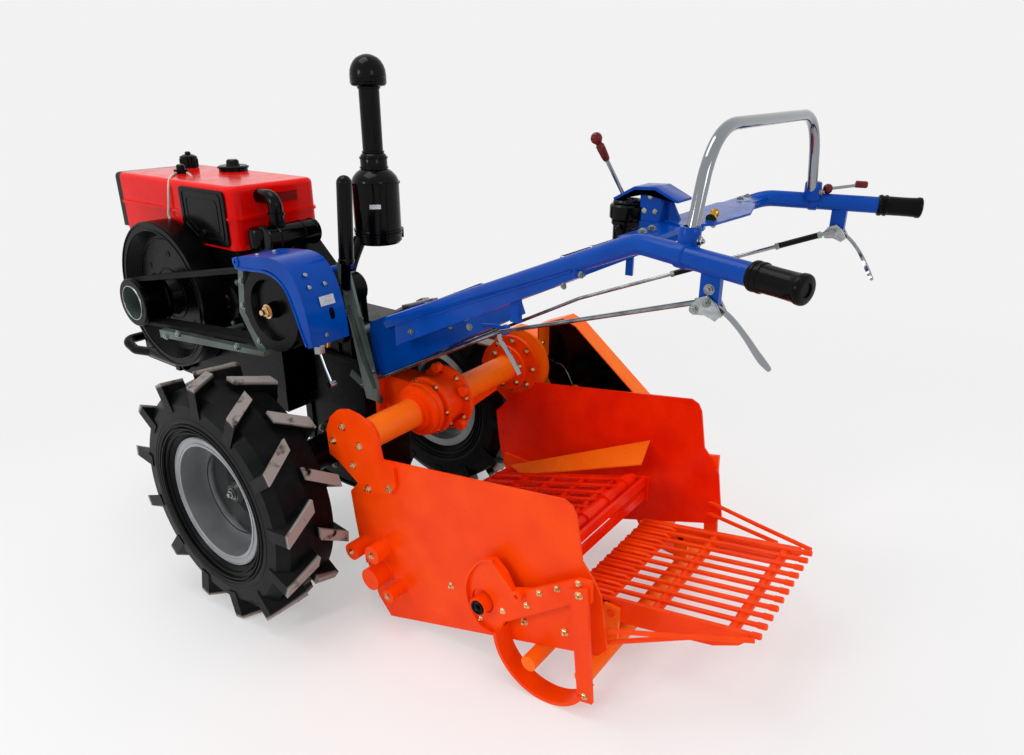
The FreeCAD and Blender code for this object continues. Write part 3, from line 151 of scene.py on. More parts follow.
def grained(tree, shader, where, grain_mm, detail, strength, depth):
    """Small grain in height: a noise of this size, as a bump on the shader's normal."""
    grain = add(tree, "ShaderNodeTexNoise", {"Vector": where, "Scale": per_metre(grain_mm),
                "Detail": detail})
    bump = add(tree, "ShaderNodeBump", {"Height": grain.outputs["Fac"], "Strength": strength,
               "Distance": depth})
    tree.links.new(bump.outputs["Normal"], shader.inputs["Normal"])


def enamel(name, colour, worn, gloss, clear=0.05, peel=0.12, shine=0.15):
    """Sprayed enamel on steel: colour drifts over 90 mm, dust dulls it over 40 mm, and the
    coat has 3 mm orange peel, drawn coarser than the real 1 mm so that it shows."""
    made = patchy(name, worn, colour, 90, 4, (0.3, 0.68), ior=1.5, coat_weight=clear,
                  coat_roughness=0.06, specular_ior_level=shine)
    material, tree, shader, where = made[:4]
    dust = add(tree, "ShaderNodeTexNoise", {"Vector": where, "Scale": per_metre(40), "Detail": 6})
    rough = add(tree, "ShaderNodeMapRange", {"Value": dust.outputs["Fac"], "From Min": 0.3,
                "From Max": 0.75, "To Min": gloss, "To Max": gloss + 0.16})
    tree.links.new(rough.outputs["Result"], shader.inputs["Roughness"])
    grained(tree, shader, where, 3, 2, peel, 0.0006)
    return material


print("signal red as linear light:", [round(value, 3) for value in linear("#E60C08")])

# %% Paints
finishes = {
    # Orange-red enamel over bent and welded plate: bright, slightly uneven, quite glossy.
    "orange_paint": enamel("orange enamel", "#FC4A02", "#F23A00", 0.26, shine=0.12),
    # Royal blue enamel on the steering gear: deep and glossy.
    "blue_paint": enamel("blue enamel", "#0045A2", "#003A94", 0.13, clear=0.04, shine=0.1),
    # Signal red enamel on the pressed fuel tank: the glossiest coat on the machine.
    "red_paint": enamel("red enamel", "#E60C08", "#D80805", 0.1, peel=0.05, shine=0.1),
    # Black enamel on tube and sheet: glossy, so that it draws the lights as streaks.
    "black_paint": enamel("black enamel", "#030304", "#020202", 0.08, clear=0.06, shine=0.1),
    # Black paint straight on sand castings: the sand's grain shows through.
    "black_cast": enamel("painted casting", "#050506", "#030303", 0.16, clear=0.03, peel=0.8, shine=0.08),
    # Aluminium paint on the rims: greyer and softer than bare metal.
    "rim_paint": enamel("aluminium paint", "#A2A5A8", "#8C8F92", 0.3, clear=0.1, shine=0.3),
    # Moulded black plastic for caps and knobs.
    "black_plastic": enamel("moulded plastic", "#040405", "#030303", 0.12, peel=0.2, shine=0.1),
}
finishes["rim_paint"].node_tree.nodes["Principled BSDF"].inputs["Metallic"].default_value = 0.55
print(len(finishes), "sprayed finishes")

# %% [markdown]
# Bare and plated metals share one function, which lets the colour and the roughness of the
# plating drift in the same patches. Chrome is nearly a mirror, and its colour is even. All keep
# the default index of refraction, because a metal's reflection doesn't use it.
#
# The green and the dull zinc on the belt channel and its quadrant are chalky rather than bright,
# so the enamel's function draws them better than a metal's does.

# %% Metals, platings and small finishes
def plating(name, colour, worn, low_rough, high_rough, patch_mm=18, detail=5):
    """A metal: two close colours in patches, with the roughness drifting over the same patches."""
    material, tree, shader, _, cloud, _ = patchy(name, worn, colour, patch_mm, detail, metallic=1.0)
    rough = add(tree, "ShaderNodeMapRange", {"Value": cloud.outputs["Fac"], "To Min": low_rough,
                "To Max": high_rough})
    tree.links.new(rough.outputs["Result"], shader.inputs["Roughness"])
    return material


finishes["zinc_steel"] = plating("zinc plate", "#A3A9A4", "#6C746F", 0.22, 0.5, 25, 6)
finishes["chrome"] = plating("chrome plate", "#8C9094", "#8C9094", 0.05, 0.16, 60, 3)
yellow_zinc = plating("yellow zinc plate", "#EBCBA4", "#C49B68", 0.16, 0.36)
green_zinc = enamel("green zinc plate", "#4C5B55", "#303B37", 0.26, clear=0.1, shine=0.4)
dull_zinc = enamel("dull zinc plate", "#75827E", "#55625E", 0.3, clear=0.1, shine=0.4)
drawn_steel = plating("bright drawn steel", "#A8ACAF", "#5E6266", 0.1, 0.28, 40)
bright_plate = plating("polished aluminium sheet", "#DADCDE", "#B8BCC0", 0.16, 0.34)
worn_edge = plating("bare turned edge", "#C8CCCE", "#8E9496", 0.2, 0.4)
cast_aluminium = plating("cast aluminium", "#B9BCBE", "#8F9396", 0.3, 0.5, 9)
brass_metal = plating("brass", "#D9A93C", "#A97C22", 0.16, 0.34)
# The hose is clear PVC gone milky, the knobs dark red moulded phenolic.
pale_hose = enamel("milky hose", "#D2C6BC", "#B19F95", 0.3, peel=0.1)
dark_red = enamel("phenolic knob", "#6A0D0D", "#3E0505", 0.12, clear=0.2, peel=0.05)
# Painted shade and light: the inner plate and the sieve take a redder orange for the shade they lie in,
# and the tube, the boxes, the chain guard and the deflectors a yellower orange for the light on them.
painted_shade_orange = enamel("orange enamel with painted shade", "#FC2A00", "#E81A00", 0.24, clear=0.06, shine=0.14)
painted_light_orange = enamel("orange enamel with painted light", "#FF7414", "#FF6608", 0.24, shine=0.12)
deep_red = enamel("shaded red enamel", "#8E0A08", "#6A0606", 0.3)
print(len(bpy.data.materials), "materials so far")

# %% [markdown]
# Rubber is dull and almost black. A tyre that has rolled over a yard has pale dust on the
# tips of its lugs and little on its walls. Distance from the axle tells the two apart: the
# shader measures it in each tyre's own plane. The same distance darkens the wheel's dished
# centre as painted shade, and keeps that shade off the outer rim.

# %% Rubbers and wheels
def rubber(name, colour, worn, rough, grain_mm, strength):
    """Moulded rubber: two close blacks in patches of 30 mm, and a fine grain in height."""
    made = patchy(name, colour, worn, 30, 8, (0.35, 0.7), roughness=rough, ior=1.52, specular_ior_level=0.07)
    grained(*made[1:4], grain_mm, 3, strength, 0.001)
    return made


def from_axle(tree, where):
    """Distance from the axle: the length of the position's part that is square to x."""
    plane = add(tree, "ShaderNodeMapping", {"Vector": where, "Location": (0, -wheel[1], -wheel[2])})
    flat = add(tree, "ShaderNodeVectorMath", {0: plane.outputs["Vector"], 1: (0, 1, 1)}, operation="MULTIPLY")
    return add(tree, "ShaderNodeVectorMath", {0: flat.outputs["Vector"]}, operation="LENGTH").outputs["Value"]


finishes["grip_rubber"] = rubber("grip rubber", "#050506", "#0A0A0B", 0.2, 4, 0.25)[0]
finishes["belt_rubber"] = rubber("belt rubber", "#141415", "#202021", 0.6, 2, 0.4)[0]
material, tree, shader, where, cloud, ramp = rubber("tyre rubber", "#08090A", "#111213", 0.34, 3, 0.5)
finishes["tyre_rubber"] = material
tip = add(tree, "ShaderNodeMapRange", {"Value": from_axle(tree, where), "From Min": 0.302,
          "From Max": 0.3085})
patch = add(tree, "ShaderNodeMapRange", {"Value": cloud.outputs["Fac"], "From Min": 0.3, "From Max": 0.44})
both = add(tree, "ShaderNodeMath", {0: tip.outputs["Result"], 1: patch.outputs["Result"]},
           operation="MULTIPLY")
dusty = add(tree, "ShaderNodeMixRGB", {"Fac": both.outputs["Value"], "Color1": ramp.outputs["Color"],
            "Color2": linear("#948C87")})
tree.links.new(dusty.outputs["Color"], shader.inputs["Base Color"])

# Painted shade: the rim is darkened to near black within about 0.13 to 0.155 m of the axle, where its dished
# centre lies in shade.
tree = finishes["rim_paint"].node_tree
base = tree.nodes["Principled BSDF"].inputs["Base Color"]
sprayed = base.links[0].from_socket
where = add(tree, "ShaderNodeTexCoord").outputs["Object"]
edge = add(tree, "ShaderNodeTexNoise", {"Vector": where, "Scale": per_metre(50), "Detail": 3})
shade_reach = add(tree, "ShaderNodeMath", {0: edge.outputs["Fac"], 1: 0.03, 2: from_axle(tree, where)},
             operation="MULTIPLY_ADD")
outer = add(tree, "ShaderNodeMapRange", {"Value": shade_reach.outputs["Value"], "From Min": 0.13,
            "From Max": 0.155})
centre_shade = add(tree, "ShaderNodeMixRGB", {"Fac": outer.outputs["Result"], "Color1": linear("#2A2B2C"),
            "Color2": sprayed})
tree.links.new(centre_shade.outputs["Color"], base)
print(len(finishes), "finishes for the slots")

# %% Every node takes its slot's finish, or one of its own
# Painted shade and light: the redder orange here is shade on the sieve and right plate, the yellower orange is
# light on the tube, its stays and the drive box.
own_finish = {"belt_channel": green_zinc, "lever_quadrant": dull_zinc, "control_rods": drawn_steel,
              "sieve": painted_shade_orange, "side_plate_right": painted_shade_orange, "cross_tube": painted_light_orange,
              "stay_tubes": painted_light_orange, "drive_box": painted_light_orange}
for part in record["subparts"]:
    slots = frame["nodes"][part["node"]].data.materials
    slots.clear()
    slots.append(own_finish.get(part["node"], finishes[part["material_slot"]]))
print(len(record["subparts"]), "nodes painted,", len(own_finish), "of them in a finish of their own")

# %% [markdown]
# ## Making fittings
# CAD has the big solids. What it leaves out is small: bolt heads, seams, pipes, ribs. Each
# one is a surface that is worked out as an array: a profile turned about a line, a section
# carried along a path, or a flat outline pressed into a plate. The arrays go straight into a
# mesh, and a clean-up merges the points that meet at poles and seams.

# %% Nets of faces
LEFT, RIGHT, REAR, UP = (1, 0, 0), (-1, 0, 0), (0, 1, 0), (0, 0, 1)


def unit(vectors):
    """Vectors divided by their own lengths."""
    return vectors / np.linalg.norm(vectors, axis=-1, keepdims=True)


def net(points, around=True):
    """A grid of points, and the faces between neighbours: each face takes point (i, j), the next
    in its column, the next in both, and the next in its row. Around closes every row."""
    rows, columns = points.shape[:2]
    index = np.arange(rows * columns).reshape(rows, columns)
    if around:
        index = np.hstack([index, index[:, :1]])
    faces = np.stack([index[:-1, :-1], index[1:, :-1], index[1:, 1:], index[:-1, 1:]], axis=-1)
    return points.reshape(-1, 3), faces.reshape(-1, 4)


def joined(*shapes):
    """Several shapes as one: the indices of each move up by the points that come before it."""
    starts = np.cumsum([0] + [len(points) for points, _ in shapes[:-1]])
    return (np.concatenate([points for points, _ in shapes]),
            np.concatenate([faces + start for (_, faces), start in zip(shapes, starts)]))


def turned(profile, sides=28, phase=0.0):
    """A profile of (radius, height) pairs turned about z: at angle t, a point of the profile is at
    (radius cos t, radius sin t, height)."""
    radius, height = np.asarray(profile, float).T
    angle = np.linspace(0, 2 * np.pi, sides, endpoint=False) + phase
    return net(np.stack([radius[:, None] * np.cos(angle), radius[:, None] * np.sin(angle),
                         height[:, None] + 0 * angle], axis=-1))


def carried(path, section, up=(0, 0, 1), size=1.0):
    """A closed section of (across, over) pairs carried along a path. At each point of the path,
    across is square to the path and to up, and over is square to both. The first and last
    sections shrink to the path itself, which closes the ends."""
    path, section = np.asarray(path, float), np.asarray(section, float)
    ahead = unit(np.gradient(path, axis=0))
    across = unit(np.cross(ahead, up))
    over = np.cross(across, ahead)
    size = np.broadcast_to(size, len(path))[:, None, None]
    rings = path[:, None] + size * (section[None, :, :1] * across[:, None]
                                    + section[None, :, 1:] * over[:, None])
    ends = np.repeat(path[[0, -1], None], len(section), axis=1)
    return net(np.concatenate([ends[:1], rings, ends[1:]]))


def circle(radius, sides=12):
    """A round section: (radius cos t, radius sin t)."""
    angle = np.linspace(0, 2 * np.pi, sides, endpoint=False)
    return radius * np.stack([np.cos(angle), np.sin(angle)], axis=1)


def strip(half, low, high, top=None):
    """A four-sided section: half its width, its low and high edges, and half its width at the top."""
    top = half if top is None else top
    return [(-half, low), (half, low), (top, high), (-top, high)]


def band(inner, outer, start, end, ease=1.0):
    """The profile of a raised band from the inner radius to the outer one, with sloped ends. With
    0 inside and 0 ease it is a plain round bar."""
    return [(inner, start), (outer, start + ease), (outer, end - ease), (inner, end)]


def stud(radius, start, shoulder, nose, end):
    """The profile of a round head: full radius up to its shoulder, then a smaller nose."""
    return [(0, start), (radius, start), (radius, shoulder), (nose, end), (0, end)]


def closed(corners):
    """A ring's corners, then its first two again, so that the last is mitred like the rest."""
    return np.array([*corners, *corners[:2]], float)


def softened(corners, rounds=3):
    """A smooth line from a few corners: each round cuts off every corner at a quarter and at three
    quarters of the runs beside it, and keeps both ends."""
    line = np.asarray(corners, float)
    for _ in range(rounds):
        cut = np.stack([line[:-1] * 0.75 + line[1:] * 0.25, line[:-1] * 0.25 + line[1:] * 0.75], axis=1)
        line = np.concatenate([line[:1], cut.reshape(-1, line.shape[1]), line[-1:]])
    return line


def pressed(outline, thick, edge=0.8):
    """A flat plate with an eased front edge. Its five rows are the outline drawn towards its own
    middle by an amount, at heights from 0 to the thickness."""
    outline = np.asarray(outline, float)
    middle = outline.mean(axis=0)
    ease = 1 - edge / np.linalg.norm(outline - middle, axis=1).mean()
    amount = np.array([0, 1, 1, ease, 0])[:, None, None]
    flat = middle + amount * (outline - middle)
    height = np.broadcast_to(np.array([0, 0, thick - edge, thick, thick])[:, None, None],
                             flat.shape[:2] + (1,))
    return net(np.concatenate([flat, height], axis=-1))


def prism(outline, start, end, edge=2.0):
    """A block across the machine: its (y, z) outline from x = start to x = end. Its six rows are the
    outline drawn towards its middle by an amount, so both ends have eased edges."""
    outline = np.asarray(outline, float)
    middle = outline.mean(axis=0)
    ease = 1 - edge / np.linalg.norm(outline - middle, axis=1).mean()
    amount = np.array([0, ease, 1, 1, ease, 0])[:, None, None]
    flat = middle + amount * (outline - middle)
    x = np.broadcast_to(np.array([start, start, start + edge, end - edge, end, end])[:, None, None],
                        flat.shape[:2] + (1,))
    return net(np.concatenate([x, flat], axis=-1))


def round_block(radius, start, end, y, z, edge=1.5):
    """A round block across the machine, from x = start to x = end, with eased edges."""
    profile = [(0, start), (radius - edge, start), (radius, start + edge), (radius, end - edge),
               (radius - edge, end), (0, end)]
    return spread(turned(profile, 40), [(0, y, z)], LEFT)


def spread(shape, centres, outward):
    """One shape, drawn at zero with z outward, copied to many places: each copy's point is the sum of
    its coordinates times the three axes of its place, plus the centre."""
    points, faces = shape
    centres = np.atleast_2d(np.asarray(centres, float))
    out = unit(np.broadcast_to(np.asarray(outward, float), centres.shape))
    helper = np.where(np.abs(out[:, 2:]) > 0.9, [[0.0, 1, 0]], [[0.0, 0, 1]])
    first = unit(np.cross(helper, out))
    axes = np.stack([first, np.cross(out, first), out], axis=1)
    copies = np.einsum("pk,ckd->cpd", points, axes) + centres[:, None]
    starts = len(points) * np.arange(len(centres))[:, None, None]
    return copies.reshape(-1, 3), (faces[None] + starts).reshape(-1, 4)


def facing(shape, order, start):
    """A plate turned upright: its three coordinates in another order, moved to its place."""
    return shape[0][:, order] + start, shape[1]


def mirror(shape):
    """The same shape on the machine's other side: x changes sign, and the faces turn round."""
    return shape[0] * [-1, 1, 1], shape[1][:, ::-1]


print("a turned disc has", len(turned([(0, 0), (5, 0), (5, 1), (0, 1)])[0]), "points")

# %% From arrays to a piece that rides
def piece(name, slot, shapes, body="tractor", material=None, sharp=35):
    """Makes one object from shapes in drawing millimetres. Points that meet are merged, faces are
    turned outward, and edges over the sharp angle stay crisp."""
    points, faces = joined(*shapes)
    mesh = bpy.data.meshes.new(name)
    mesh.from_pydata(place(points), [], faces.tolist())
    work = bmesh.new()
    work.from_mesh(mesh)
    bmesh.ops.remove_doubles(work, verts=work.verts, dist=2e-6)
    bmesh.ops.dissolve_degenerate(work, edges=work.edges, dist=1e-7)
    bmesh.ops.recalc_face_normals(work, faces=work.faces)
    work.to_mesh(mesh)
    work.free()
    mesh.shade_smooth()
    mesh.set_sharp_from_angle(angle=math.radians(sharp))
    mesh.materials.append(material or finishes[slot])
    made = bpy.data.objects.new(name, mesh)
    bpy.context.scene.collection.objects.link(made)
    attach(made, body)
    made_pieces[name] = len(mesh.polygons)
    print(f"{name}: {len(mesh.polygons)} faces, rides on {body}")
    return made


made_pieces = {}

# %% [markdown]
# ## Bolts
# Everything on this machine is bolted, so hex bolts come first: a round washer, a six-sided
# head with its corners turned off, and a stub that is longer on through bolts. One bolt is
# drawn once and copied by array to every place on a list.

# %% Hex bolts
def bolt(size, thread=0.0):
    """A washer, a hexagonal head and a stub: three turned profiles, the head with only six sides."""
    washer = turned(band(0, 1.3 * size, -0.4, 0.16 * size, 0), 14)
    head = turned(stud(size, 0, 0.62 * size, 0.84 * size, 0.74 * size), 6)
    stub = turned(stud(0.52 * size, 0, (0.9 + thread) * size, 0.42 * size, (1 + thread) * size), 8)
    return joined(washer, head, stub)


def ring_of(count, radius, centre, phase=0.0):
    """Centres on an upright circle that faces the machine's side: y and z go round, x stays."""
    angle = np.linspace(0, 2 * np.pi, count, endpoint=False) + phase
    x, y, z = centre
    return np.stack([x + 0 * angle, y + radius * np.cos(angle), z + radius * np.sin(angle)], axis=1)


def at(x, pairs):
    """Centres at one x from a list of (y, z) pairs."""
    pairs = np.asarray(pairs, float)
    return np.column_stack([np.full(len(pairs), float(x)), pairs])


# Where the machine's main lines lie: the tube and the crank at (y, z), the stack at (x, y).
TUBE, CRANK, STACK = (364, 534), (-545, 684), (-160, -25)
# How far out, in x: the wheels, their discs, the engine's sides, and each side plate's face.
WHEEL, DISC, ENGINE_SIDE, ARM_FACE = 395, 395 - 34, 135, 291.5
PLATE_FACE = {1: 309.5, -1: 291.5}
arm_bolts = [(299, 540), (261, 493), (350, 506), (323, 449), (368, 404), (437, 428)]
skid_bolts = [(707, 221), (765, 269), (824, 312), (853, 355), (893, 384), (939, 417)]
digger = []
for x_sign, out in ((1, LEFT), (-1, RIGHT)):
    digger.append(spread(bolt(7.5, 0.35), at(x_sign * ARM_FACE, arm_bolts), out))
    digger.append(spread(bolt(6.5), at(x_sign * 328.5, [(333, 238), (402, 257), (446, 163)]), out))
    face = PLATE_FACE[x_sign]
    digger.append(spread(bolt(5.5, 0.3), at(x_sign * face, skid_bolts), out))
    digger.append(spread(bolt(6.5, 0.3), at(x_sign * (face + 8), [(945, 398), (966, 172)]), out))
digger.append(spread(bolt(6.5, 0.5), at(282.5, [(603, 240), (800, 241), (897, 265)]), LEFT))
digger.append(spread(bolt(7), ring_of(8, 70, (18, *TUBE), 0.2), LEFT))
digger.append(spread(bolt(6), ring_of(6, 64, (84, *TUBE)), LEFT))
digger.append(spread(bolt(7), ring_of(6, 50, (-230, *TUBE), 0.3), LEFT))
digger.append(spread(bolt(7.5), ring_of(8, 68, (-261, *TUBE)), LEFT))
digger.append(spread(bolt(7), [(-x, 422, z) for x in (322, 368) for z in (482, 594)], REAR))
digger.append(spread(bolt(6.5), at(-353.5, [(450, 640), (540, 650), (790, 430), (700, 200),
                                            (640, 195)]), RIGHT))
piece("digger_bolts", "zinc_steel", digger, material=yellow_zinc)

# %% Bolts of the tractor
tractor = [
    spread(bolt(8), at(309, [(-380, 622), (-314, 640), (-45, 662)]), LEFT),
    spread(bolt(7), at(297, [(34, 690), (-14, 770), (-8, 830)]), LEFT),
    spread(bolt(7), at(ENGINE_SIDE, [(-420, 749), (-330, 726), (-283, 748), (-299, 700), (-331, 625),
                                     (-375, 678), (-200, 560), (-780, 500), (-780, 660)]), LEFT),
    spread(bolt(6), at(126, [(152, 812), (153, 790), (148, 739), (201, 732), (230, 606)]), LEFT),
    spread(bolt(6), at(104, [(465, 762), (520, 770)]), LEFT),
    spread(bolt(7.5), at(-104, [(232, 620), (232, 696), (465, 762), (300, 745)]), RIGHT),
    spread(bolt(8), ring_of(8, 60, (89, 0, AXLE)), LEFT),
    spread(bolt(8), ring_of(8, 60, (-89, 0, AXLE)), RIGHT),
    spread(bolt(8), at(-ENGINE_SIDE, [(y, z) for y in (-760, -640, -500, -360, -240)
                                      for z in (490, 790)] + [(-760, 640), (-200, 640)]), RIGHT),
    spread(bolt(7), at(-58, [(0, 480), (0, 670), (185, 480), (185, 670)]), RIGHT),
    spread(bolt(7), at(58, [(0, 480), (0, 670), (185, 480)]), LEFT),
    spread(bolt(8), at(133, [(-840, 435), (-700, 435), (-180, 435)]), LEFT),
    spread(bolt(8), at(-133, [(-840, 435), (-180, 435)]), RIGHT),
    spread(bolt(9), [(x, -846, z) for x in (-70, 70) for z in (510, 590, 668)], (0, -1, 0)),
]
piece("tractor_bolts", "zinc_steel", tractor)
for name, sign in (("left", 1), ("right", -1)):
    piece(f"wheel_bolts_{name}", "zinc_steel",
          [spread(bolt(9, 0.4), ring_of(5, 46, (sign * (DISC + 7), 0, AXLE)), (sign, 0, 0)),
           spread(bolt(12, 0.2), [(sign * (WHEEL + 14), 0, AXLE)], (sign, 0, 0))], body=f"wheel_{name}")
piece("clutch_bolt", "zinc_steel", [spread(bolt(13, 0.5), [(308, 97, 778)], LEFT)], body="clutch",
      material=yellow_zinc)
print("faces in all bolts:", sum(made_pieces.values()))

# %% [markdown]
# ## Digger fittings
# The side plates and the boxes round the tube are welded, and a weld bead is a row of small
# overlapping scales. It is a round section carried along the joint while its size swells and
# shrinks every few millimetres.

# %% Weld beads
def bead(path, radius=2.6, pitch=5.0):
    """A weld: a circle carried along the path. Its radius is the mean radius times
    1 + 0.16 sin(2 pi s / pitch), where s is the length along the path."""
    path = np.asarray(path, float)
    run = np.concatenate([[0], np.cumsum(np.linalg.norm(np.diff(path, axis=0), axis=1))])
    steps = np.linspace(0, run[-1], max(8, int(run[-1] / pitch * 3)))
    fine = np.stack([np.interp(steps, run, path[:, k]) for k in range(3)], axis=1)
    swell = 1 + 0.16 * np.sin(2 * np.pi * steps / pitch)
    ahead = unit(np.gradient(fine, axis=0))
    up = (0.31, 0.2, 0.93) if abs(ahead[:, 2]).max() < 0.95 else (0.9, 0.3, 0.31)
    return carried(fine, circle(radius, 6), up, swell)


def loop_round(radius, centre, count=60):
    """A full circle round a line across the machine, its last point on its first."""
    points = ring_of(count, radius, centre)
    return np.concatenate([points, points[:1]])


welds = []
for sign in (1, -1):
    x = sign * 283.3
    welds += [bead(loop_round(radius + 0.6, (x, y, z), 24), 2.2)
              for y, z, radius in ((333, 238, 21), (402, 257, 22), (389, 184, 27), (446, 163, 16))]
    welds.append(bead(loop_round(35.6, (sign * 277, *TUBE)), 3))
welds += [bead(loop_round(35.8, (x, *TUBE)), 3) for x in (-229.4, -238.8, -260.6, 136)]
piece("digger_welds", "orange_paint", welds)

# %% Rim, bar and pivot of the left and right skids
outline = [(745, 386), (712, 373), (683, 331), (671, 290), (680, 246), (703, 214), (716, 207),
           (742, 205)]
skid_trim = []
for sign, face in PLATE_FACE.items():
    depth = 9.0 if sign > 0 else 6.0
    wall = carried(at(face, softened(outline)), strip(2, -1, depth), LEFT)
    bar = carried(at(face, np.linspace((744, 380), (796, 332), 6)), strip(3, -1, depth), LEFT)
    pivot = spread(turned([(0, -1), (12, -1), (12, depth + 4), (10.5, depth + 5.5), (5, depth + 5.5),
                           (5, depth + 1), (0, depth + 1)], 24), [(face, 808, 333)], LEFT)
    shapes = [wall, bar, pivot]
    skid_trim += shapes if sign > 0 else [mirror(shape) for shape in shapes]
piece("skid_trim", "orange_paint", skid_trim)
cap = turned([(0, -1), (16, -1), (16, 2), (14.5, 3.2), (11, 3.2), (10.5, 1.2), (6, 1.2), (6, 4),
              (4.5, 4.8), (0, 4.8)])
piece("hub_cap", "black_cast", [spread(cap, [(332, 717, 268)], LEFT)], body="eccentric")

# %% [markdown]
# The shaking sieve has a blob of weld wherever a rod crosses a bar, and pressed ribs on its front
# plate. The rear screen has ribs on its plate too, sleeves on its tine tips, and guard rods
# from the side plates that close the gap beside it.

# %% Sieve and screen
def slope(y):
    """Height of the sieve over its front edge: 130 mm of rise in 424 mm of length."""
    return 224 + (y - 366) * 130 / 424


rods = -185 + 8 + (370 - 16) * np.arange(10) / 9
bars = np.arange(478, 770, 88)
crossings = np.array([(x, y, slope(y) - 1) for y in bars for x in rods])
blob = turned([(0, -5), (5, -4), (7.4, 0), (5.5, 4.5), (0, 6.4)], 8)
ribs = [carried([(x, 372, slope(372) + 1.5), (x, 380, slope(380) + 5), (x, 466, slope(466) + 5),
                 (x, 476, slope(476) + 1.5)], circle(5.5, 8), UP) for x in rods[:-1] + 19.6]
# The sieve's trim takes the redder orange: painted shade.
piece("sieve_trim", "orange_paint", [spread(blob, crossings, UP)] + ribs, body="sieve_body",
      material=painted_shade_orange)


def screen_line(y, over=0.0):
    """Height of the rear screen: 74 mm of rise in 394 mm of length, from 262 mm at its front."""
    return 262 + (y - 838) * 74 / 394 + over


def upright(outline, x, thick):
    """A plate that stands along the machine: its outline in (y, z), eased on the side it faces."""
    return facing(pressed(outline, thick, 1.2), [2, 0, 1], (x, 0, 0))


tines = np.arange(-160, 161, 32)
cross_bar_y = (1022, 1176)
tine_rows = [carried([(x, 842, screen_line(842, 3)), (x * 0.985, 1040, screen_line(1040, 3)),
                      (x * 0.97, 1228, screen_line(1228, 3))], circle(5.2, 12), UP) for x in tines]
sleeves = spread(turned([(0, 0), (6.4, 0), (6.4, 15), (5.4, 17), (0, 17)], 16),
                 [(x * 0.97, 1214, screen_line(1214, 3)) for x in tines], (0, 0.983, 0.185))
sheet = pressed(strip(165, 838, 930), 5, 1)
sheet[0][:, 2] += screen_line(sheet[0][:, 1], -5)
ribs = [carried([(x, y, screen_line(y, lift)) for y, lift in ((840, 0), (848, 5), (920, 5), (929, 0))],
                circle(5, 10), UP) for x in tines[:-1] + 16]
cross_bars = [carried([(x, y, screen_line(y, -8)) for x in (-160, 160)], circle(10.5, 24), UP)
              for y in cross_bar_y]
cheek = [(838, screen_line(838, 8)), (838, screen_line(838, -16)), (914, screen_line(914, -44)),
         (1000, screen_line(1000, -46)), (1150, screen_line(1150, -38)), (1196, screen_line(1196, -22)),
         (1216, screen_line(1216, -2)), (1204, screen_line(1204, 8))]
cheeks = [upright(cheek, x, 6) for x in (-165, 159)]
pins = [spread(turned(band(0, 8, 0, 17.4, 0), 24), [(sign * 159, 938, 258)], (sign, 0, 0))
        for sign in (1, -1)]
dabs = spread(blob, [(x * 0.98, y, screen_line(y, 1)) for y in cross_bar_y for x in tines], UP)
screen = piece("screen_frame", "orange_paint",
               tine_rows + ribs + cross_bars + cheeks + pins + [sleeves, sheet, dabs], body="screen_body")
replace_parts(screen, "rear_screen")
guard_lines = ([(287.5, 925, 296), (287.5, 940, 299), (226, 1090, 318), (170, 1224, 338)],
               [(287.5, 925, 262), (287.5, 945, 266), (182, 1150, 318)])
piece("guard_rods", "orange_paint", [carried(np.array(line) * [sign, 1, 1], circle(5, 10), UP)
                                     for line in guard_lines for sign in (1, -1)])


def sloping_sheet(corners, thick=4.0):
    """A thin sheet between four corners: a ring of its top and bottom corners at each end, and each
    ring drawn together to its middle, which closes the ends."""
    high_front, low_front, low_rear, high_rear = np.asarray(corners, float)
    down = [0, 0, thick]
    rings = np.array([[high, low, low - down, high - down]
                      for high, low in ((high_front, low_front), (high_rear, low_rear))])
    ends = np.repeat(rings.mean(axis=1, keepdims=True), 4, axis=1)
    return net(np.concatenate([ends[:1], rings, ends[1:]]))


right_sheet = np.array([(-217, 393, 247), (-190, 451, 249), (-193, 807, 398), (-277.5, 786, 421)])
# The deflector sheets take the yellower orange: painted light, brighter than the light that falls there.
sheets = piece("deflector_sheets", "orange_paint",
               [sloping_sheet(right_sheet * [sign, 1, 1]) for sign in (1, -1)], material=painted_light_orange)
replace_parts(sheets, "deflectors")

# %% Chain guard, open towards the drive box
rim = [(422, 480), (422, 650), (500, 682), (540, 668), (812, 452), (812, 330), (720, 176), (640, 176),
       (600, 240)]
skirt = carried(at(-327.5, closed(rim)), strip(1.5, -26, 26), LEFT)
wall = upright(rim, -353.5, 3)
ridge = [(446, 500), (446, 606), (500, 644), (528, 634), (778, 438), (778, 350), (700, 226), (655, 226)]
ridge = carried(at(-353.5, closed(ridge)), strip(5, -2.4, 0.5), LEFT)
seats = spread(turned(band(0, 12, 0, 71, 0), 24), at(-353, [(520, 470), (790, 420)]), LEFT)
# The guard's shell takes the yellower orange: painted light on its strongly lit band.
guard = piece("guard_shell", "orange_paint", [skirt, wall, ridge, seats], material=painted_light_orange)
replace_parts(guard, "chain_guard")
# A thin black sheet just inside the guard's outer wall: painted shade in the guard's open channel.
middle = np.mean(rim, axis=0)
piece("guard_shadow_sheet", "black_paint", [upright(middle + (np.array(rim) - middle) * 0.985, -350.6, 0.8)])

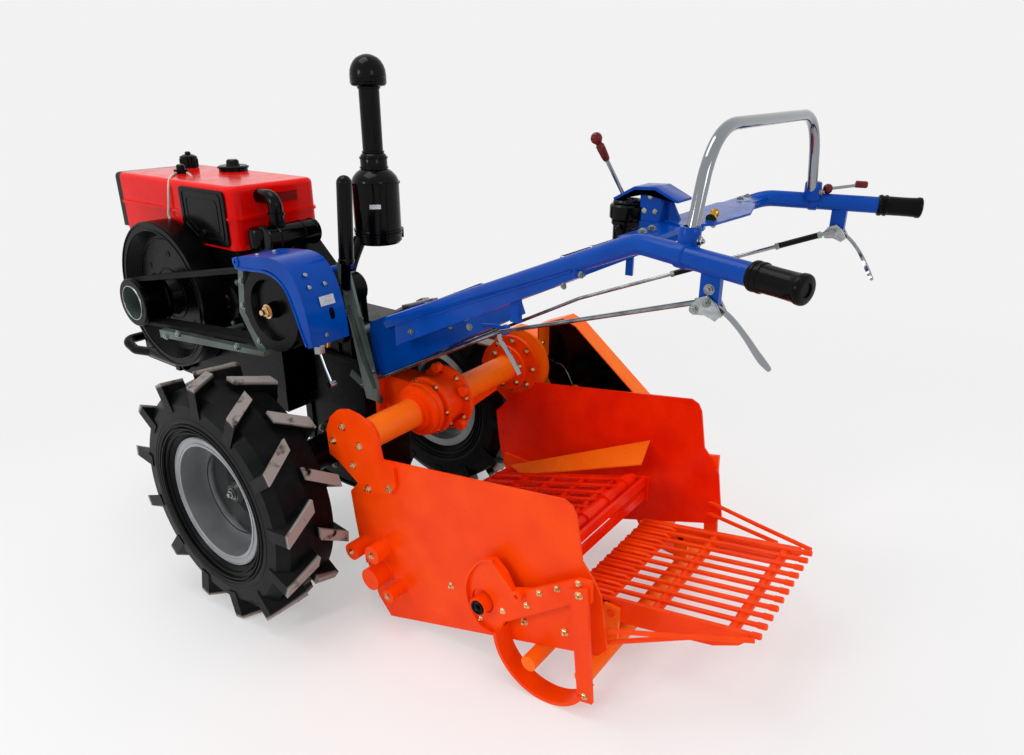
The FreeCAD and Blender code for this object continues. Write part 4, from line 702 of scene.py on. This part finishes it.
# %% Gland, wire and stiffening web of the drive box
piece("box_gland", "black_plastic",
      [spread(turned([(0, -2), (15, -2), (15, 6), (11, 8), (11, 26), (8, 34), (0, 34)], 20),
              [(-339, 422, 536)], REAR)])
wire = softened([(-339, 454, 536), (-332, 490, 540), (-318, 540, 470), (-300, 566, 430),
                 (-290, 570, 428)])
piece("gland_wire", "zinc_steel", [carried(wire, circle(1.5, 6), UP)])
web = pressed([(20, 22), (20, -30), (-60, -12), (-190, 4), (-190, 22)], 6, 1)
piece("tube_web", "orange_paint", [facing(web, [0, 2, 1], (0, 361, 480))])
piece("housing_lugs", "orange_paint", [spread(turned(stud(13, 0, 15, 11.5, 17), 20),
                                              ring_of(5, 80, (20, *TUBE), 0.5), LEFT)])
print("digger fittings:", sum(made_pieces.values()), "faces so far")

# %% [markdown]
# ## Engine and tank
# The tank is a deep pressing in two halves, and a thin overflow hose is clipped over it. The black
# cover on its side has a raised border round a blank field. The end grille has slats, and the
# hood's rear has one louvre.

# %% Tank hose, cover border, louvre and slats
hose = softened([(72, -532, 1007.5), (40, -600, 1008), (10, -690, 1009), (90, -600, 1010), (132, -548, 1006),
                 (145, -536, 985), (147.5, -548, 926), (149, -556, 905), (146, -544, 880)])
piece("tank_hose", "zinc_steel", [carried(hose, circle(3.2, 10), (0.3, 0.9, 0.2))], material=pale_hose)
outer = [(-470, 895), (-417, 862), (-298, 862), (-291, 870), (-291, 976), (-298, 984), (-462, 984),
         (-470, 976)]
inner = [(-452, 905), (-412, 880), (-316, 880), (-309, 888), (-309, 958), (-316, 966), (-445, 966),
         (-452, 958)]
cover_face = 147.4
borders = [carried(at(cover_face, closed(outer)), strip(3.2, -1, 2.2, 2), LEFT),
           carried(at(cover_face, closed(inner)), strip(1.6, -1, 1.4, 1), LEFT)]
latch = spread(turned([(0, 0), (11, 0), (10, 4), (5, 5), (0, 5)], 20), [(cover_face, -384, 874)], LEFT)
piece("cover_trim", "black_plastic", borders + [latch])
slot = pressed([(-37, -12), (37, -8), (37, 12), (-37, 12)], 2.2, 0.6)
lips = [carried([(-70, -248.4, z), (8, -248.4, z)], strip(1.6, -1.6, 2), UP) for z in (954, 962, 970, 977)]
piece("hood_louvre", "red_paint", [facing(slot, [0, 2, 1], (-32, -250.2, 965))] + lips, material=deep_red)
slats = [carried([(-118, -850.5, z), (118, -850.5, z)], [(-2, -3), (2, -3), (1, 3), (-2, 3)], UP)
         for z in np.arange(862, 992, 9.5)]
piece("end_slats", "black_plastic", slats)

# %% Caps, filler ribs and the fuel tap
knurl = [spread(pressed(strip(1.6, -1, 1.4, 1.2), 24, 0.4),
                [(-60 + 26 * math.cos(a), -760 + 26 * math.sin(a), 1009)
                 for a in np.arange(0, 6.28, 0.35)], UP)]
dome = spread(turned([(26, 28), (24, 35), (14, 40), (0, 41)], 28), [(-60, -760, 1006)], UP)
pip = spread(turned(stud(9, 0, 5, 6, 9), 16), [(-60, -760, 1046)], UP)
dish = spread(turned([(43, 8), (46, 10), (46, 14), (40, 17), (30, 15), (20, 15), (18, 30), (14, 34),
                      (0, 35)], 32), [(-90, -570, 1006)], UP)
tap = spread(turned(stud(12, 0, 10, 8, 14), 20), [(40, -640, 1018)], UP)
piece("cap_trim", "black_plastic", knurl + [dome, pip, dish, tap])

# %% [markdown]
# The engine's right side carries the injection pump, a fuel filter with its bowl and the steel
# injector pipe. They are turned bodies and thin carried tubes. The side cover is a pressed
# plate, and the left side's covers are turned.

# %% Engine side parts
side_cover = pressed([(-150, -62), (150, -62), (158, -54), (158, 70), (148, 80), (-148, 80), (-158, 70),
                      (-158, -54)], 9, 2)
side_cover = mirror(facing(side_cover, [2, 0, 1], (ENGINE_SIDE, -560, 640)))
filter_bowl = [spread(turned([(0, 0), (22, 0), (26, 8), (26, 62), (30, 66), (30, 80), (0, 80)]),
                      [(-166, -330, 700)], UP),
               spread(turned(band(0, 9, 0, 12, 0), 14), [(-166, -330, 780)], UP)]
pump = spread(turned([(0, 0), (30, 0), (30, 26), (22, 32), (22, 60), (16, 66), (0, 66)]),
              [(-134, -640, 540)], RIGHT)
piece("engine_side", "black_cast", [side_cover, *filter_bowl, pump])
pipe = softened([(-186, -640, 560), (-190, -660, 640), (-170, -770, 730), (-90, -862, 700),
                 (-40, -880, 640), (-30, -850, 620)])
feed = softened([(-166, -330, 795), (-166, -380, 812), (-170, -520, 700), (-176, -620, 580),
                 (-170, -636, 560)])
piece("fuel_pipes", "zinc_steel", [carried(line, circle(radius, 8), (0.2, 0.3, 0.93))
                                   for line, radius in ((pipe, 3.2), (feed, 3.6))])
oil = spread(turned([(0, 0), (16, 0), (16, 10), (20, 12), (20, 24), (14, 28), (0, 28)], 20),
             [(100, -170, 790)], (0.2, 0.5, 0.9))
left_side = [spread(turned([(0, -1), (54, -1), (54, 8), (46, 12), (20, 12), (18, 16), (0, 16)], 36),
                    [(ENGINE_SIDE, -330, 690)], LEFT),
             spread(turned(stud(34, -1, 12, 28, 16)), [(ENGINE_SIDE, -230, 590)], LEFT)]
piece("engine_covers", "black_cast", [oil, *left_side])

# %% Flywheel and pulley mouth
wheel_rings = [spread(turned([(r - 2.4, -1), (r - 2.4, 1.6), (r - 1.2, 2.6), (r + 1.2, 2.6), (r + 2.4, 1.6),
                              (r + 2.4, -1), (r - 2.4, -1)], 64), [(x, *CRANK)], LEFT)
               for r, x in ((209, 214), (190, 214), (160, 184.3), (74, 184.3))]
holes = [spread(turned([(0, -0.5), (9, -0.5), (9, 1.4), (7, 1.4), (6, 0.4), (0, 0.4)], 16),
                ring_of(6, 120, (184.3, *CRANK), 0.4), LEFT)]
piece("flywheel_rings", "black_cast", wheel_rings + holes, body="crank")
liner = turned([(44.6, 1.5), (41.5, -22), (39.4, -50), (24, -51), (23, -52)], 48)
piece("pulley_mouth", "zinc_steel", [spread(liner, [(301.5, *CRANK)], LEFT)], body="crank",
      material=green_zinc)
piece("pulley_rim", "chrome", [spread(turned([(46, 0), (46.6, 2.4), (49, 2.4), (49.6, 0)], 48),
                               [(301.5, *CRANK)], LEFT)], body="crank", material=worn_edge)
barrel = turned(band(66.4, 68, 0, 14, 2), 48)
piece("pulley_bands", "black_cast", [spread(barrel, [(219, *CRANK), (287, *CRANK)], LEFT)], body="crank")

# %% [markdown]
# ## Guard and stack
# The belt guard is deep-drawn, so its mouth has a rolled second edge. It carries a round boss
# at the front, a row of screws, an adjusting slot with a blank plate, and an adjuster
# with a long threaded rod.

# %% Clutch guard trim
arch = at(312, softened([(2, 866), (20, 867), (60, 868), (106, 873), (148, 866), (180, 842), (199, 800),
                         (214, 757), (230, 722)], 2))
lip = carried(arch, [(-3, -3), (3, -3), (3, 2.2), (0, 3.4), (-3, 2.2)], LEFT)
boss = spread(turned([(0, -3), (11, -3), (11, 3), (8, 4.5), (4, 4.5), (4, 1), (0, 1)], 24),
              [(312, 6, 880)], LEFT)
piece("guard_trim", "blue_paint", [lip, boss])
screws = turned([(0, -0.5), (5, -0.5), (5, 1.2), (3.6, 2.6), (0, 3)], 14)
places = [((282, 211, 874), (0, 0.66, 0.75)), ((285, 225, 849), (0, 0.88, 0.47)),
          ((243, 225, 849), (0, 0.88, 0.47)), ((268, 245.4, 741), (0, 1, 0.1)),
          ((246, 60, 899.6), UP), ((292, 60, 899.6), UP)]
piece("guard_screws", "zinc_steel", [spread(screws, [c], n) for c, n in places])
piece("guard_plate", "zinc_steel", [spread(pressed(strip(20, -11, 11), 2, 0.5), [(250, 234.6, 815)],
                                           (0, 0.965, 0.26))], material=bright_plate)
angle = np.linspace(0, 2 * np.pi, 24, endpoint=False)
oval = np.column_stack([6.5 * np.cos(angle), 6.5 * np.sin(angle) + 7 * np.sign(np.sin(angle))])
piece("guard_slot", "black_plastic", [spread(pressed(oval, 0.8, 0.3), [(243, 239.6, 784)], (0, 0.98, 0.2))])
adjuster = [spread(turned(stud(13, 0, 17, 11, 19), 6), [(285, 236, 702)], UP),
            spread(turned(band(0, 9, 0, 10, 0), 16), [(285, 236, 720)], UP),
            carried([(285, 236, 706), (285, 252, 668), (285, 268, 636)], circle(2.6, 8), REAR),
            spread(turned([(0, -8), (7, -8), (8, 0), (7, 8), (0, 8)], 14), [(285, 268, 634)], LEFT)]
piece("guard_adjuster", "chrome", adjuster)
cam = pressed([(-30, -16), (26, -20), (34, 6), (10, 26), (-26, 12)], 10, 1.5)
piece("clutch_yoke", "zinc_steel", [spread(cam, [(206, 150, 700)], LEFT),
                                    carried([(150, 128, 712), (212, 140, 706)], circle(7, 10), UP)],
      material=yellow_zinc)

# %% Air cleaner bands, muffler bands and lever collar
def bands(starts, inner, outer, length, centre, sides, out=UP):
    """Equal raised bands along one line, each starting at one of these heights."""
    return [spread(turned(band(inner, outer, start, start + length), sides), [centre], out)
            for start in starts]


def on_shell(angle, height):
    """A place on the air cleaner's can at an angle and a height, and the way it faces there."""
    out = np.array([math.cos(angle), math.sin(angle), 0])
    return [STACK[0], STACK[1], height] + 64.5 * out, out


stack = bands((877, 1003), 63, 67.2, 7, (*STACK, 0), 48)
stack += bands((1043, 1068), 26, 38.5, 6, (*STACK, 0), 36) + bands((1083, 1242), 26, 30, 6, (*STACK, 0), 36)
stack += [spread(turned([(46.6, start), (48.6, start + 1.5), (46.6, start + 3)], 40), [(*STACK, 0)], UP)
          for start in (1258, 1270)]
stack += [spread(pressed(strip(5, -14, 14), 5, 1.5), *on_shell(angle, 868)) for angle in (0.4, 2.5, 4.6)]
piece("stack_bands", "black_paint", stack)
spot, out = on_shell(0.75, 950)
piece("stack_tag", "zinc_steel", [spread(pressed(strip(15, -6, 6), 1.2, 0.4), spot - 0.3 * out, out)],
      material=bright_plate)
drum = bands((-60, -20, 60, 94), 34, 36, 6, (0, -186, 872), 36, LEFT)
elbow = bands((906, 930), 19, 23, 8, (52, -186, 0), 28)
chamber = spread(turned([(0, 0), (30, 0), (33, 4), (33, 46), (30, 52), (20, 56), (0, 57)], 32),
                 [(88, -212, 846)], UP)
piece("muffler_trim", "black_paint", drum + elbow + [chamber])
piece("lever_collar", "black_plastic", [spread(turned(band(17, 19, 868, 878, 2)), [(131, 171.3, 0)], UP)])
links = [carried([(126, 160, 760), (134, 205, 640), (126, 232, 560)], strip(6, -2, 2), LEFT),
         carried([(134, 205, 742), (134, 236, 620)], strip(4, -2, 2), LEFT),
         carried([(110, 128, 573), (110, 236, 520)], strip(10, -2, 2), LEFT)]
piece("quadrant_links", "zinc_steel", links, material=green_zinc)
print("engine and guard fittings:", sum(made_pieces.values()), "faces so far")

# %% [markdown]
# ## Handlebars
# Each handlebar is a tube welded on top of a pressed channel. The grips are moulded with ribs and
# a flange, and the levers are forged blades that hang in a three-cornered aluminium bracket.

# %% Grips, seams and brackets
BAR = np.array([(120.3, 292, 740), (278, 997, 1041), (374, 1271, 1034)])


def bar_point(sign, y):
    """A point on a handlebar's centre line at one y: straight from the box to the bend, and
    straight again from the bend to the grip."""
    start, bend, end = BAR * [sign, 1, 1]
    first = start + (bend - start) * ((y - start[1]) / (bend[1] - start[1]))
    return first if y < 997 else bend + (end - bend) * ((y - bend[1]) / (end[1] - bend[1]))


grip = [(0, -0.5), (8.6, -0.5), (9.2, -2.6), (16, -2.8), (19, -1), (20, 2), (19.7, 6), (18.5, 9),
        (18.1, 20), (18, 36), (18.3, 55), (18.6, 58.5), (20.2, 60), (20.4, 62), (20.2, 64), (18.7, 65.5),
        (18.7, 67.5), (20.2, 69), (20.5, 71.5), (20.2, 74), (18.7, 76), (15.5, 76.5)]
cheek = [(1110, 976), (1120, 990), (1134, 996), (1146, 988), (1156, 972), (1148, 962), (1132, 968),
         (1116, 966)]
grips, seams, brackets, blades, pins, hardware = [], [], [], [], [], []
for sign in (1, -1):
    _, bend, end = BAR * [sign, 1, 1]
    back = unit(bend - end)
    grips.append(spread(turned(grip, 44), [end + back * 3], back))
    near, far = bar_point(sign, 340), bar_point(sign, 878)
    run = unit(far - near)
    out = unit(np.cross(run, [0, 0, 1])) * sign
    for face in (1, -1):
        side_line = [near + out * 13.4 * face - [0, 0, 14], far + out * 13.4 * face - [0, 0, 13]]
        seams.append(bead(side_line, 2.0))
    face = out * 13.2
    hardware.append(spread(bolt(6.5, 0.3), [bar_point(sign, 400) + face - [0, 0, 36]], out))
    hardware.append(spread(bolt(4.6, 0.3), [bar_point(sign, 899) + face - [0, 0, 24],
                                            bar_point(sign, 861) + face - [0, 0, 34]], out))
    # The lever's three-cornered bracket has two cheeks, with the blade and its pins between them.
    x = sign * 324
    brackets += [upright(cheek, x + offset, 4) for offset in (8, -12)]
    blade = softened([(x, 1132, 986), (x * 0.995, 1160, 972), (x * 0.985, 1186, 946), (x * 0.96, 1206, 916),
                      (x * 0.93, 1220, 898)])
    width = np.interp(np.linspace(0, 1, len(blade)), [0, 0.2, 0.45, 0.75, 1], [0.75, 0.66, 0.64, 0.85, 0.5])
    blades.append(carried(blade, [(-4, -6), (4, -6), (5.4, 0), (4, 6), (-4, 6), (-5.4, 0)], LEFT, width))
    pins.append(spread(bolt(5, 0.2), at(x + sign * 12.5, [(1134, 986), (1117, 974)]), (sign, 0, 0)))
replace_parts(piece("grip_sleeves", "grip_rubber", grips), "grips")
piece("beam_seams", "blue_paint", seams)
piece("lever_brackets", "zinc_steel", brackets, material=cast_aluminium)
levers = piece("lever_blades", "chrome", blades, sharp=50)
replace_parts(levers, "clutch_levers")
piece("bar_hardware", "zinc_steel", hardware + pins)

# %% Cable sheaths and rod ends
sheaths, collars = [], []
for sign, runs in ((1, [(0.02, 0.05)]), (-1, [(0.05, 0.2), (0.42, 0.6)])):
    line = np.array([[sign * 306, 1134, 984], [sign * 150, 640, 796]])
    for a, b in runs:
        spots = line[0] + (line[1] - line[0]) * np.array([[a], [b]])
        sheaths.append(carried(spots, circle(6.2, 12)))
        collars.append(spread(turned(band(0, 7.2, -4, 4, 0), 6), spots, line[1] - line[0]))
piece("rod_sheaths", "black_plastic", sheaths)
piece("rod_collars", "zinc_steel", collars)
loop = spread(turned([(5, -5), (11, -5), (11, 5), (5, 5), (5, -5)], 20), [(112, 623, 786)], LEFT)
hanger = carried(softened([(107, 560, 782), (110, 600, 790), (112, 616, 786)]), circle(5, 10), LEFT)
piece("return_eye", "blue_paint", [loop, hanger])
strap = softened([(112, 612, 779), (112, 606, 765), (112, 628, 742), (112, 650, 712), (112, 660, 696)])
piece("return_strap", "chrome", [carried(strap, strip(5, -1.2, 1.2), LEFT)])

# %% [markdown]
# The hoop's feet sit in small split bosses, with a bolt through each. Two aluminium clamps hold the
# throttle and its stay on the inner right bar, and a brass fitting stands on the cross plate.

# %% Hoop, its bosses, clamps and brass
bosses, clamp_rows, hoop_bolts = [], [], []
foot = bar_point(1, 1084) + [-14, 0, 2]
shoulder, top = foot + [-51, 0, 166], foot[2] + 166
turn = np.linspace(0, 1, 14)[:, None]
lead, after = shoulder + unit(foot - shoulder) * 84, shoulder + [-84.0, 0, 0]
corner = (1 - turn) ** 2 * lead + 2 * turn * (1 - turn) * shoulder + turn ** 2 * after
half_hoop = np.concatenate([[foot + unit(shoulder - foot) * 8], corner])
whole = np.concatenate([half_hoop, half_hoop[::-1] * [-1, 1, 1]])
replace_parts(piece("hoop_tube", "chrome", [carried(whole, circle(9.5, 24), REAR)]), "guard_hoop")
for sign in (1, -1):
    foot = bar_point(sign, 1084) + [-14 * sign, 0, 2]
    bosses.append(spread(turned([(10, -6), (15, -6), (16, -4), (16, 26), (14, 29), (10, 29)]),
                         [foot + [0, 0, 8]], UP))
    bosses.append(spread(turned(band(16.2, 18.4, -9, 9, 2)), [bar_point(sign, 1084)],
                         (BAR[2] - BAR[1]) * [sign, 1, 1]))
    hoop_bolts.append(spread(bolt(6, 0.3), [foot + [0, 15, 18]], REAR))
    hoop_bolts.append(spread(bolt(6, 0.3), [bar_point(sign, 1134) + [sign * 4, 0, -34]], (sign, 0, 0)))
piece("hoop_bosses", "blue_paint", bosses)
piece("hoop_bolts", "chrome", hoop_bolts)
along = unit(np.array([-157.7, 705, 301.0]))
for y in (592, 660):
    spot = bar_point(-1, y)
    clamp_rows.append(spread(turned(band(16.2, 20, -8, 8, 0), 12), [spot], along))
    clamp_rows.append(spread(pressed(strip(9, -12, 12), 14, 2), [spot + [24, 0, 8]], LEFT))
piece("bar_clamps", "zinc_steel", clamp_rows, material=cast_aluminium)
rod_end = bar_point(-1, 720) + [34, 0, 12]
piece("clamp_rod", "black_plastic",
      [carried([bar_point(-1, 590) + [30, 0, 14], rod_end], circle(8, 14)),
       spread(turned([(0, 0), (14, 0), (16, 4), (16, 14), (0, 16)], 24), [rod_end], along)])
brass = [spread(turned([(0, 0), (9, 0), (9, 5), (6, 7), (6, 16), (7.5, 18), (7.5, 24), (5, 27), (0, 27)], 18),
                [(72, 1024, 1050)], (-0.9, -0.1, 0.3))]
piece("brass_fitting", "zinc_steel", brass, material=brass_metal)
cross_plate = pressed([(110, 956), (140, 1000), (96, 1040), (-40, 1052), (-150, 1022), (-162, 984),
                       (-120, 958)], 4, 1)
piece("cross_plate_lip", "blue_paint", [facing(cross_plate, [0, 1, 2], (0, 0, 1043.6))])

# %% Console: switch drums, hood and its bolts
drums = [spread(turned([(0, low), (r - 3, low), (r, low + 3), (r, high - 3), (r - 3, high), (0, high)], 40),
                [(105, 888, 0)], UP)
         for low, high, r in ((1003, 1033, 26), (1030, 1042, 29), (1041, 1067, 33), (1066, 1074, 28))]
drums.append(spread(turned(stud(5, 0, 5, 3, 7), 12), [(136, 888, 1030), (122, 905, 1030)], LEFT))
piece("switch_drums", "black_plastic", drums)
hood = [(866, 1077), (905, 1099), (945, 1101), (986, 1082), (986, 1078), (944, 1096), (906, 1094),
        (868, 1073)]
console = [prism([(956, 1036), (1006, 1036), (1006, 1044), (956, 1044)], -266, 266, 1.5),
           prism([(896, 1026), (966, 1036), (966, 1044), (896, 1044)], 84, 116, 1.5),
           prism([(914, 1042), (954, 1042), (956, 1076), (950, 1098), (914, 1096)], 78, 118, 2.5),
           prism([(954, 1044), (984, 1044), (962, 1084), (954, 1084)], 94, 101, 1),
           prism(hood, 68, 124, 1)]
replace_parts(piece("console_box", "blue_paint", console), "console")
piece("console_screws", "zinc_steel",
      [spread(screws, at(118, [(924, 1060), (944, 1060), (934, 1084)]), LEFT),
       spread(bolt(6), [(x, 980, 1048) for x in (-220, -180, 200, 232)], UP)])
bow = np.linspace(0, 0.78 * np.pi, 12)
globe = np.column_stack([9.8 * np.sin(bow), -9.8 * np.cos(bow)]).tolist()
root, knob = np.array([119, 884, 1082.0]), np.array([164, 852, 1176.0])
lean = unit(root - knob)
seat = bar_point(-1, 997 + 0.4 * 274)
ahead = unit((BAR[2] - BAR[1]) * [-1, 1, 1])
ball = seat + [0, 0, 25.3]
tail = ball + ahead * 62 + [0, 0, 12]
rods = piece("lever_rods", "chrome", [carried([root, knob], circle(3.4, 12)),
                                      carried([ball, tail], circle(3, 10))])
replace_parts(rods, "speed_levers")
piece("lever_knobs", "black_plastic",
      [spread(turned(globe + [(5.2, 10), (7, 13), (7.2, 20), (6.4, 34), (5.6, 39), (4.6, 41), (0, 41)], 32),
              [knob], lean),
       spread(turned(globe + [(0, 9.8)], 32), [ball], ahead),
       spread(turned([(0, -15), (6.8, -13), (6.8, 7), (5, 9), (0, 9.4)], 20), [tail], ahead)],
      material=dark_red)
print("handlebar fittings:", sum(made_pieces.values()), "faces so far")

# %% [markdown]
# ## Tyres and rims
# A farm tyre has moulded rings on its wall. The rim has raised lines, a valve, and a ring of
# weld round its hub. All but the valve are profiles turned about the axle.

# %% Tyre walls, valves and rim lines
for name, sign in (("left", 1), ("right", -1)):
    centre, out = (sign * WHEEL, 0, AXLE), (sign, 0, 0)
    walls = []
    for way in (sign, -sign):
        for r, h, lift in ((196, 81, 2.0), (184, 74.5, 2.2), (205, 82.2, 1.1), (222, 81.7, 1.1)):
            ring = [(r - 3, h - 2), (r - 1.4, h + lift), (r + 1.4, h + lift), (r + 3, h - 2)]
            walls.append(spread(turned(ring, 72), [centre], (way, 0, 0)))
    piece(f"tyre_wall_{name}", "tyre_rubber", walls, body=f"wheel_{name}", sharp=50)
    lines = [spread(turned([(r - 1.8, h), (r - 1, h + 1.8), (r + 1, h + 1.8), (r + 1.8, h)], 72),
                    [centre], out) for r, h in ((165.5, 63.6), (152, 63.6), (108, 12))]
    weld = spread(turned([(30, 6.5), (33, 9), (37, 6.5)], 40), [(sign * DISC, 0, AXLE)], out)
    piece(f"rim_lines_{name}", "rim_paint", lines + [weld], body=f"wheel_{name}")
    piece(f"valve_{name}", "black_plastic",
          [spread(turned([(0, 0), (5.5, 0), (5, 14), (3.8, 18), (3.8, 30), (0, 31)], 14),
                  [(sign * WHEEL, 118, AXLE)], (sign * 0.8, -0.6, 0))], body=f"wheel_{name}")

# %% [markdown]
# ## Gear case and frame
# The gear case is two castings bolted at a flange, with ribs to stiffen them and a round cover
# over each bearing. The bumper is clamped to the frame's rails.

# %% Gear case and air cleaner
lower = [(-125, 230), (-85, 190), (100, 190), (140, 230), (140, 590), (-60, 590), (-60, 470), (-125, 430)]
case = [prism(lower, -75, 75, 5), prism([(-20, 462), (205, 462), (205, 700), (-20, 700)], -58, 58, 5),
        prism([(62, 660), (132, 660), (128, 778), (66, 778)], 38, 58, 3),
        round_block(40, 38, 88, 97, 778, 3), round_block(46, -292, 292, 0, AXLE),
        round_block(11, -103.6, 103.6, 160, 545)]
case += [round_block(72, start, start + 14, 0, AXLE, 3) for start in (-89, 75, -292, 278)]
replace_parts(piece("gear_case", "black_cast", case), "gearbox")
canister = [(0, 843), (58, 843), (64, 850), (64, 866), (66, 868), (66, 874), (64, 876), (64, 1004),
            (62.5, 1014), (58, 1023), (48, 1034), (36, 1042), (36, 1074), (33, 1079), (27, 1084),
            (27, 1246), (43, 1250), (47, 1256), (47, 1276), (45.8, 1288), (42, 1299), (36, 1309),
            (28, 1317), (18, 1322), (9, 1325), (0, 1326)]
duct = carried(softened([(-110, -45, 860), (-80, -55, 800), (-60, -60, 740), (-60, -64, 690),
                         (-60, -119.7, 690)]), circle(18, 24), LEFT)
cleaner = piece("cleaner_body", "black_paint", [spread(turned(canister, 72), [(*STACK, 0)], UP), duct])
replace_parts(cleaner, "air_cleaner")

# %% Case flange, ribs and bumper clamps
flange = softened([(-118, 236), (-80, 200), (96, 200), (134, 236), (134, 400), (134, 584)], 2)
case = []
for sign in (1, -1):
    x, out = sign * 75, (sign, 0, 0)
    case.append(carried(at(x, flange), strip(4, -1.5, 5, 3), out))
    case += [carried(at(x, [(y, 250), (y, 278 if abs(y) < 72 else 420)]), strip(4, -1, 7, 2.6), out)
             for y in (-90, -40, 40, 90)]
    case += [carried(at(sign * 58, [(y, 500), (y, 640)]), strip(3.4, -1, 6, 2.4), out)
             for y in (30, 80, 130)]
    case.append(spread(turned(stud(30, -1, 9, 26, 12), 32), [(sign * 58, 40, 650)], out))
    case.append(spread(turned(band(46, 52, 0, 12, 2), 36), [(sign * 200, 0, AXLE)], out))
piece("case_ribs", "black_cast", case)
clamps = [carried([(sign * 148, -640, 435), (sign * 148, -618, 435)], strip(17, -18, 18))
          for sign in (1, -1)]
piece("bumper_clamps", "black_paint", clamps)
print("all fittings:", len(made_pieces), "pieces,", sum(made_pieces.values()), "faces")

# %% [markdown]
# ## Studio
# A pale floor that fades into the same pale surround, a broad lamp overhead and two soft ones
# at the sides. The floor keeps the shadow; away from the machine it turns see-through, so that
# no horizon shows.

# %% Floor, surround and lamps
floor_mesh = bpy.data.meshes.new("floor")
floor_mesh.from_pydata([(x, y, 0) for x, y in strip(6, -6, 6)], [], [(0, 1, 2, 3)])
floor = bpy.data.objects.new("floor", floor_mesh)
floor.location = (0, 0, -0.0005)
bpy.context.scene.collection.objects.link(floor)
paper = bpy.data.materials.new("studio paper")
paper.use_nodes = True
tree = paper.node_tree
tree.nodes.clear()
where = add(tree, "ShaderNodeTexCoord").outputs["Object"]
far = add(tree, "ShaderNodeVectorMath", {0: where}, operation="LENGTH")
fade = add(tree, "ShaderNodeMapRange", {"Value": far.outputs["Value"], "From Min": 1.3, "From Max": 3.4},
           interpolation_type="SMOOTHSTEP")
matte = add(tree, "ShaderNodeBsdfDiffuse", {"Color": linear("#F6F6F6")})
glow = add(tree, "ShaderNodeEmission", {"Color": linear("#F6F6F6")})
camera_ray = add(tree, "ShaderNodeLightPath").outputs["Is Camera Ray"]
half = add(tree, "ShaderNodeMath", {0: camera_ray, 1: 0.4}, operation="MULTIPLY")
matte = add(tree, "ShaderNodeMixShader", {"Fac": half.outputs["Value"], 1: matte.outputs["BSDF"],
            2: glow.outputs["Emission"]})
clear = add(tree, "ShaderNodeBsdfTransparent")
blend = add(tree, "ShaderNodeMixShader", {"Fac": fade.outputs["Result"], 1: matte.outputs["Shader"],
            2: clear.outputs["BSDF"]})
add(tree, "ShaderNodeOutputMaterial", {"Surface": blend.outputs["Shader"]})
floor_mesh.materials.append(paper)

world = bpy.data.worlds.new("studio")
bpy.context.scene.world = world
world.use_nodes = True
tree = world.node_tree
tree.nodes.clear()
rays = add(tree, "ShaderNodeLightPath").outputs
seen = add(tree, "ShaderNodeMath", {0: rays["Is Camera Ray"], 1: rays["Is Transmission Ray"]},
           operation="MAXIMUM")
seen = add(tree, "ShaderNodeMath", {0: seen.outputs["Value"], 1: rays["Is Glossy Ray"]},
           operation="MAXIMUM")
room = add(tree, "ShaderNodeBackground", {"Color": linear("#FFFFFF"), "Strength": 0.78})
pale = add(tree, "ShaderNodeBackground", {"Color": linear("#F2F2F2"), "Strength": 1.0})
blend = add(tree, "ShaderNodeMixShader", {"Fac": seen.outputs["Value"], 1: room.outputs["Background"],
            2: pale.outputs["Background"]})
add(tree, "ShaderNodeOutputWorld", {"Surface": blend.outputs["Shader"]})


def lamp(name, where, aim, width, watts):
    """A square soft lamp at a place, turned to face a point."""
    light = bpy.data.objects.new(name, bpy.data.lights.new(name, "AREA"))
    light.data.size, light.data.energy = width, watts
    light.location = where
    away = np.subtract(where, aim)
    light.rotation_euler = (math.acos(away[2] / np.linalg.norm(away)), 0, math.atan2(away[0], -away[1]))
    bpy.context.scene.collection.objects.link(light)


lamp("overhead lamp", (0.4, -0.2, 3.4), (0, 0, 0.5), 1.5, 26)
lamp("left lamp", (3.4, -0.7, 2.2), (0, 0, 0.5), 0.8, 24)
lamp("rear lamp", (0.9, 3.6, 1.7), (0, 0.2, 0.5), 0.9, 10)
bpy.context.scene.view_settings.view_transform = "Standard"
print("studio ready")

# %% Finish
bpy.context.view_layer.update()
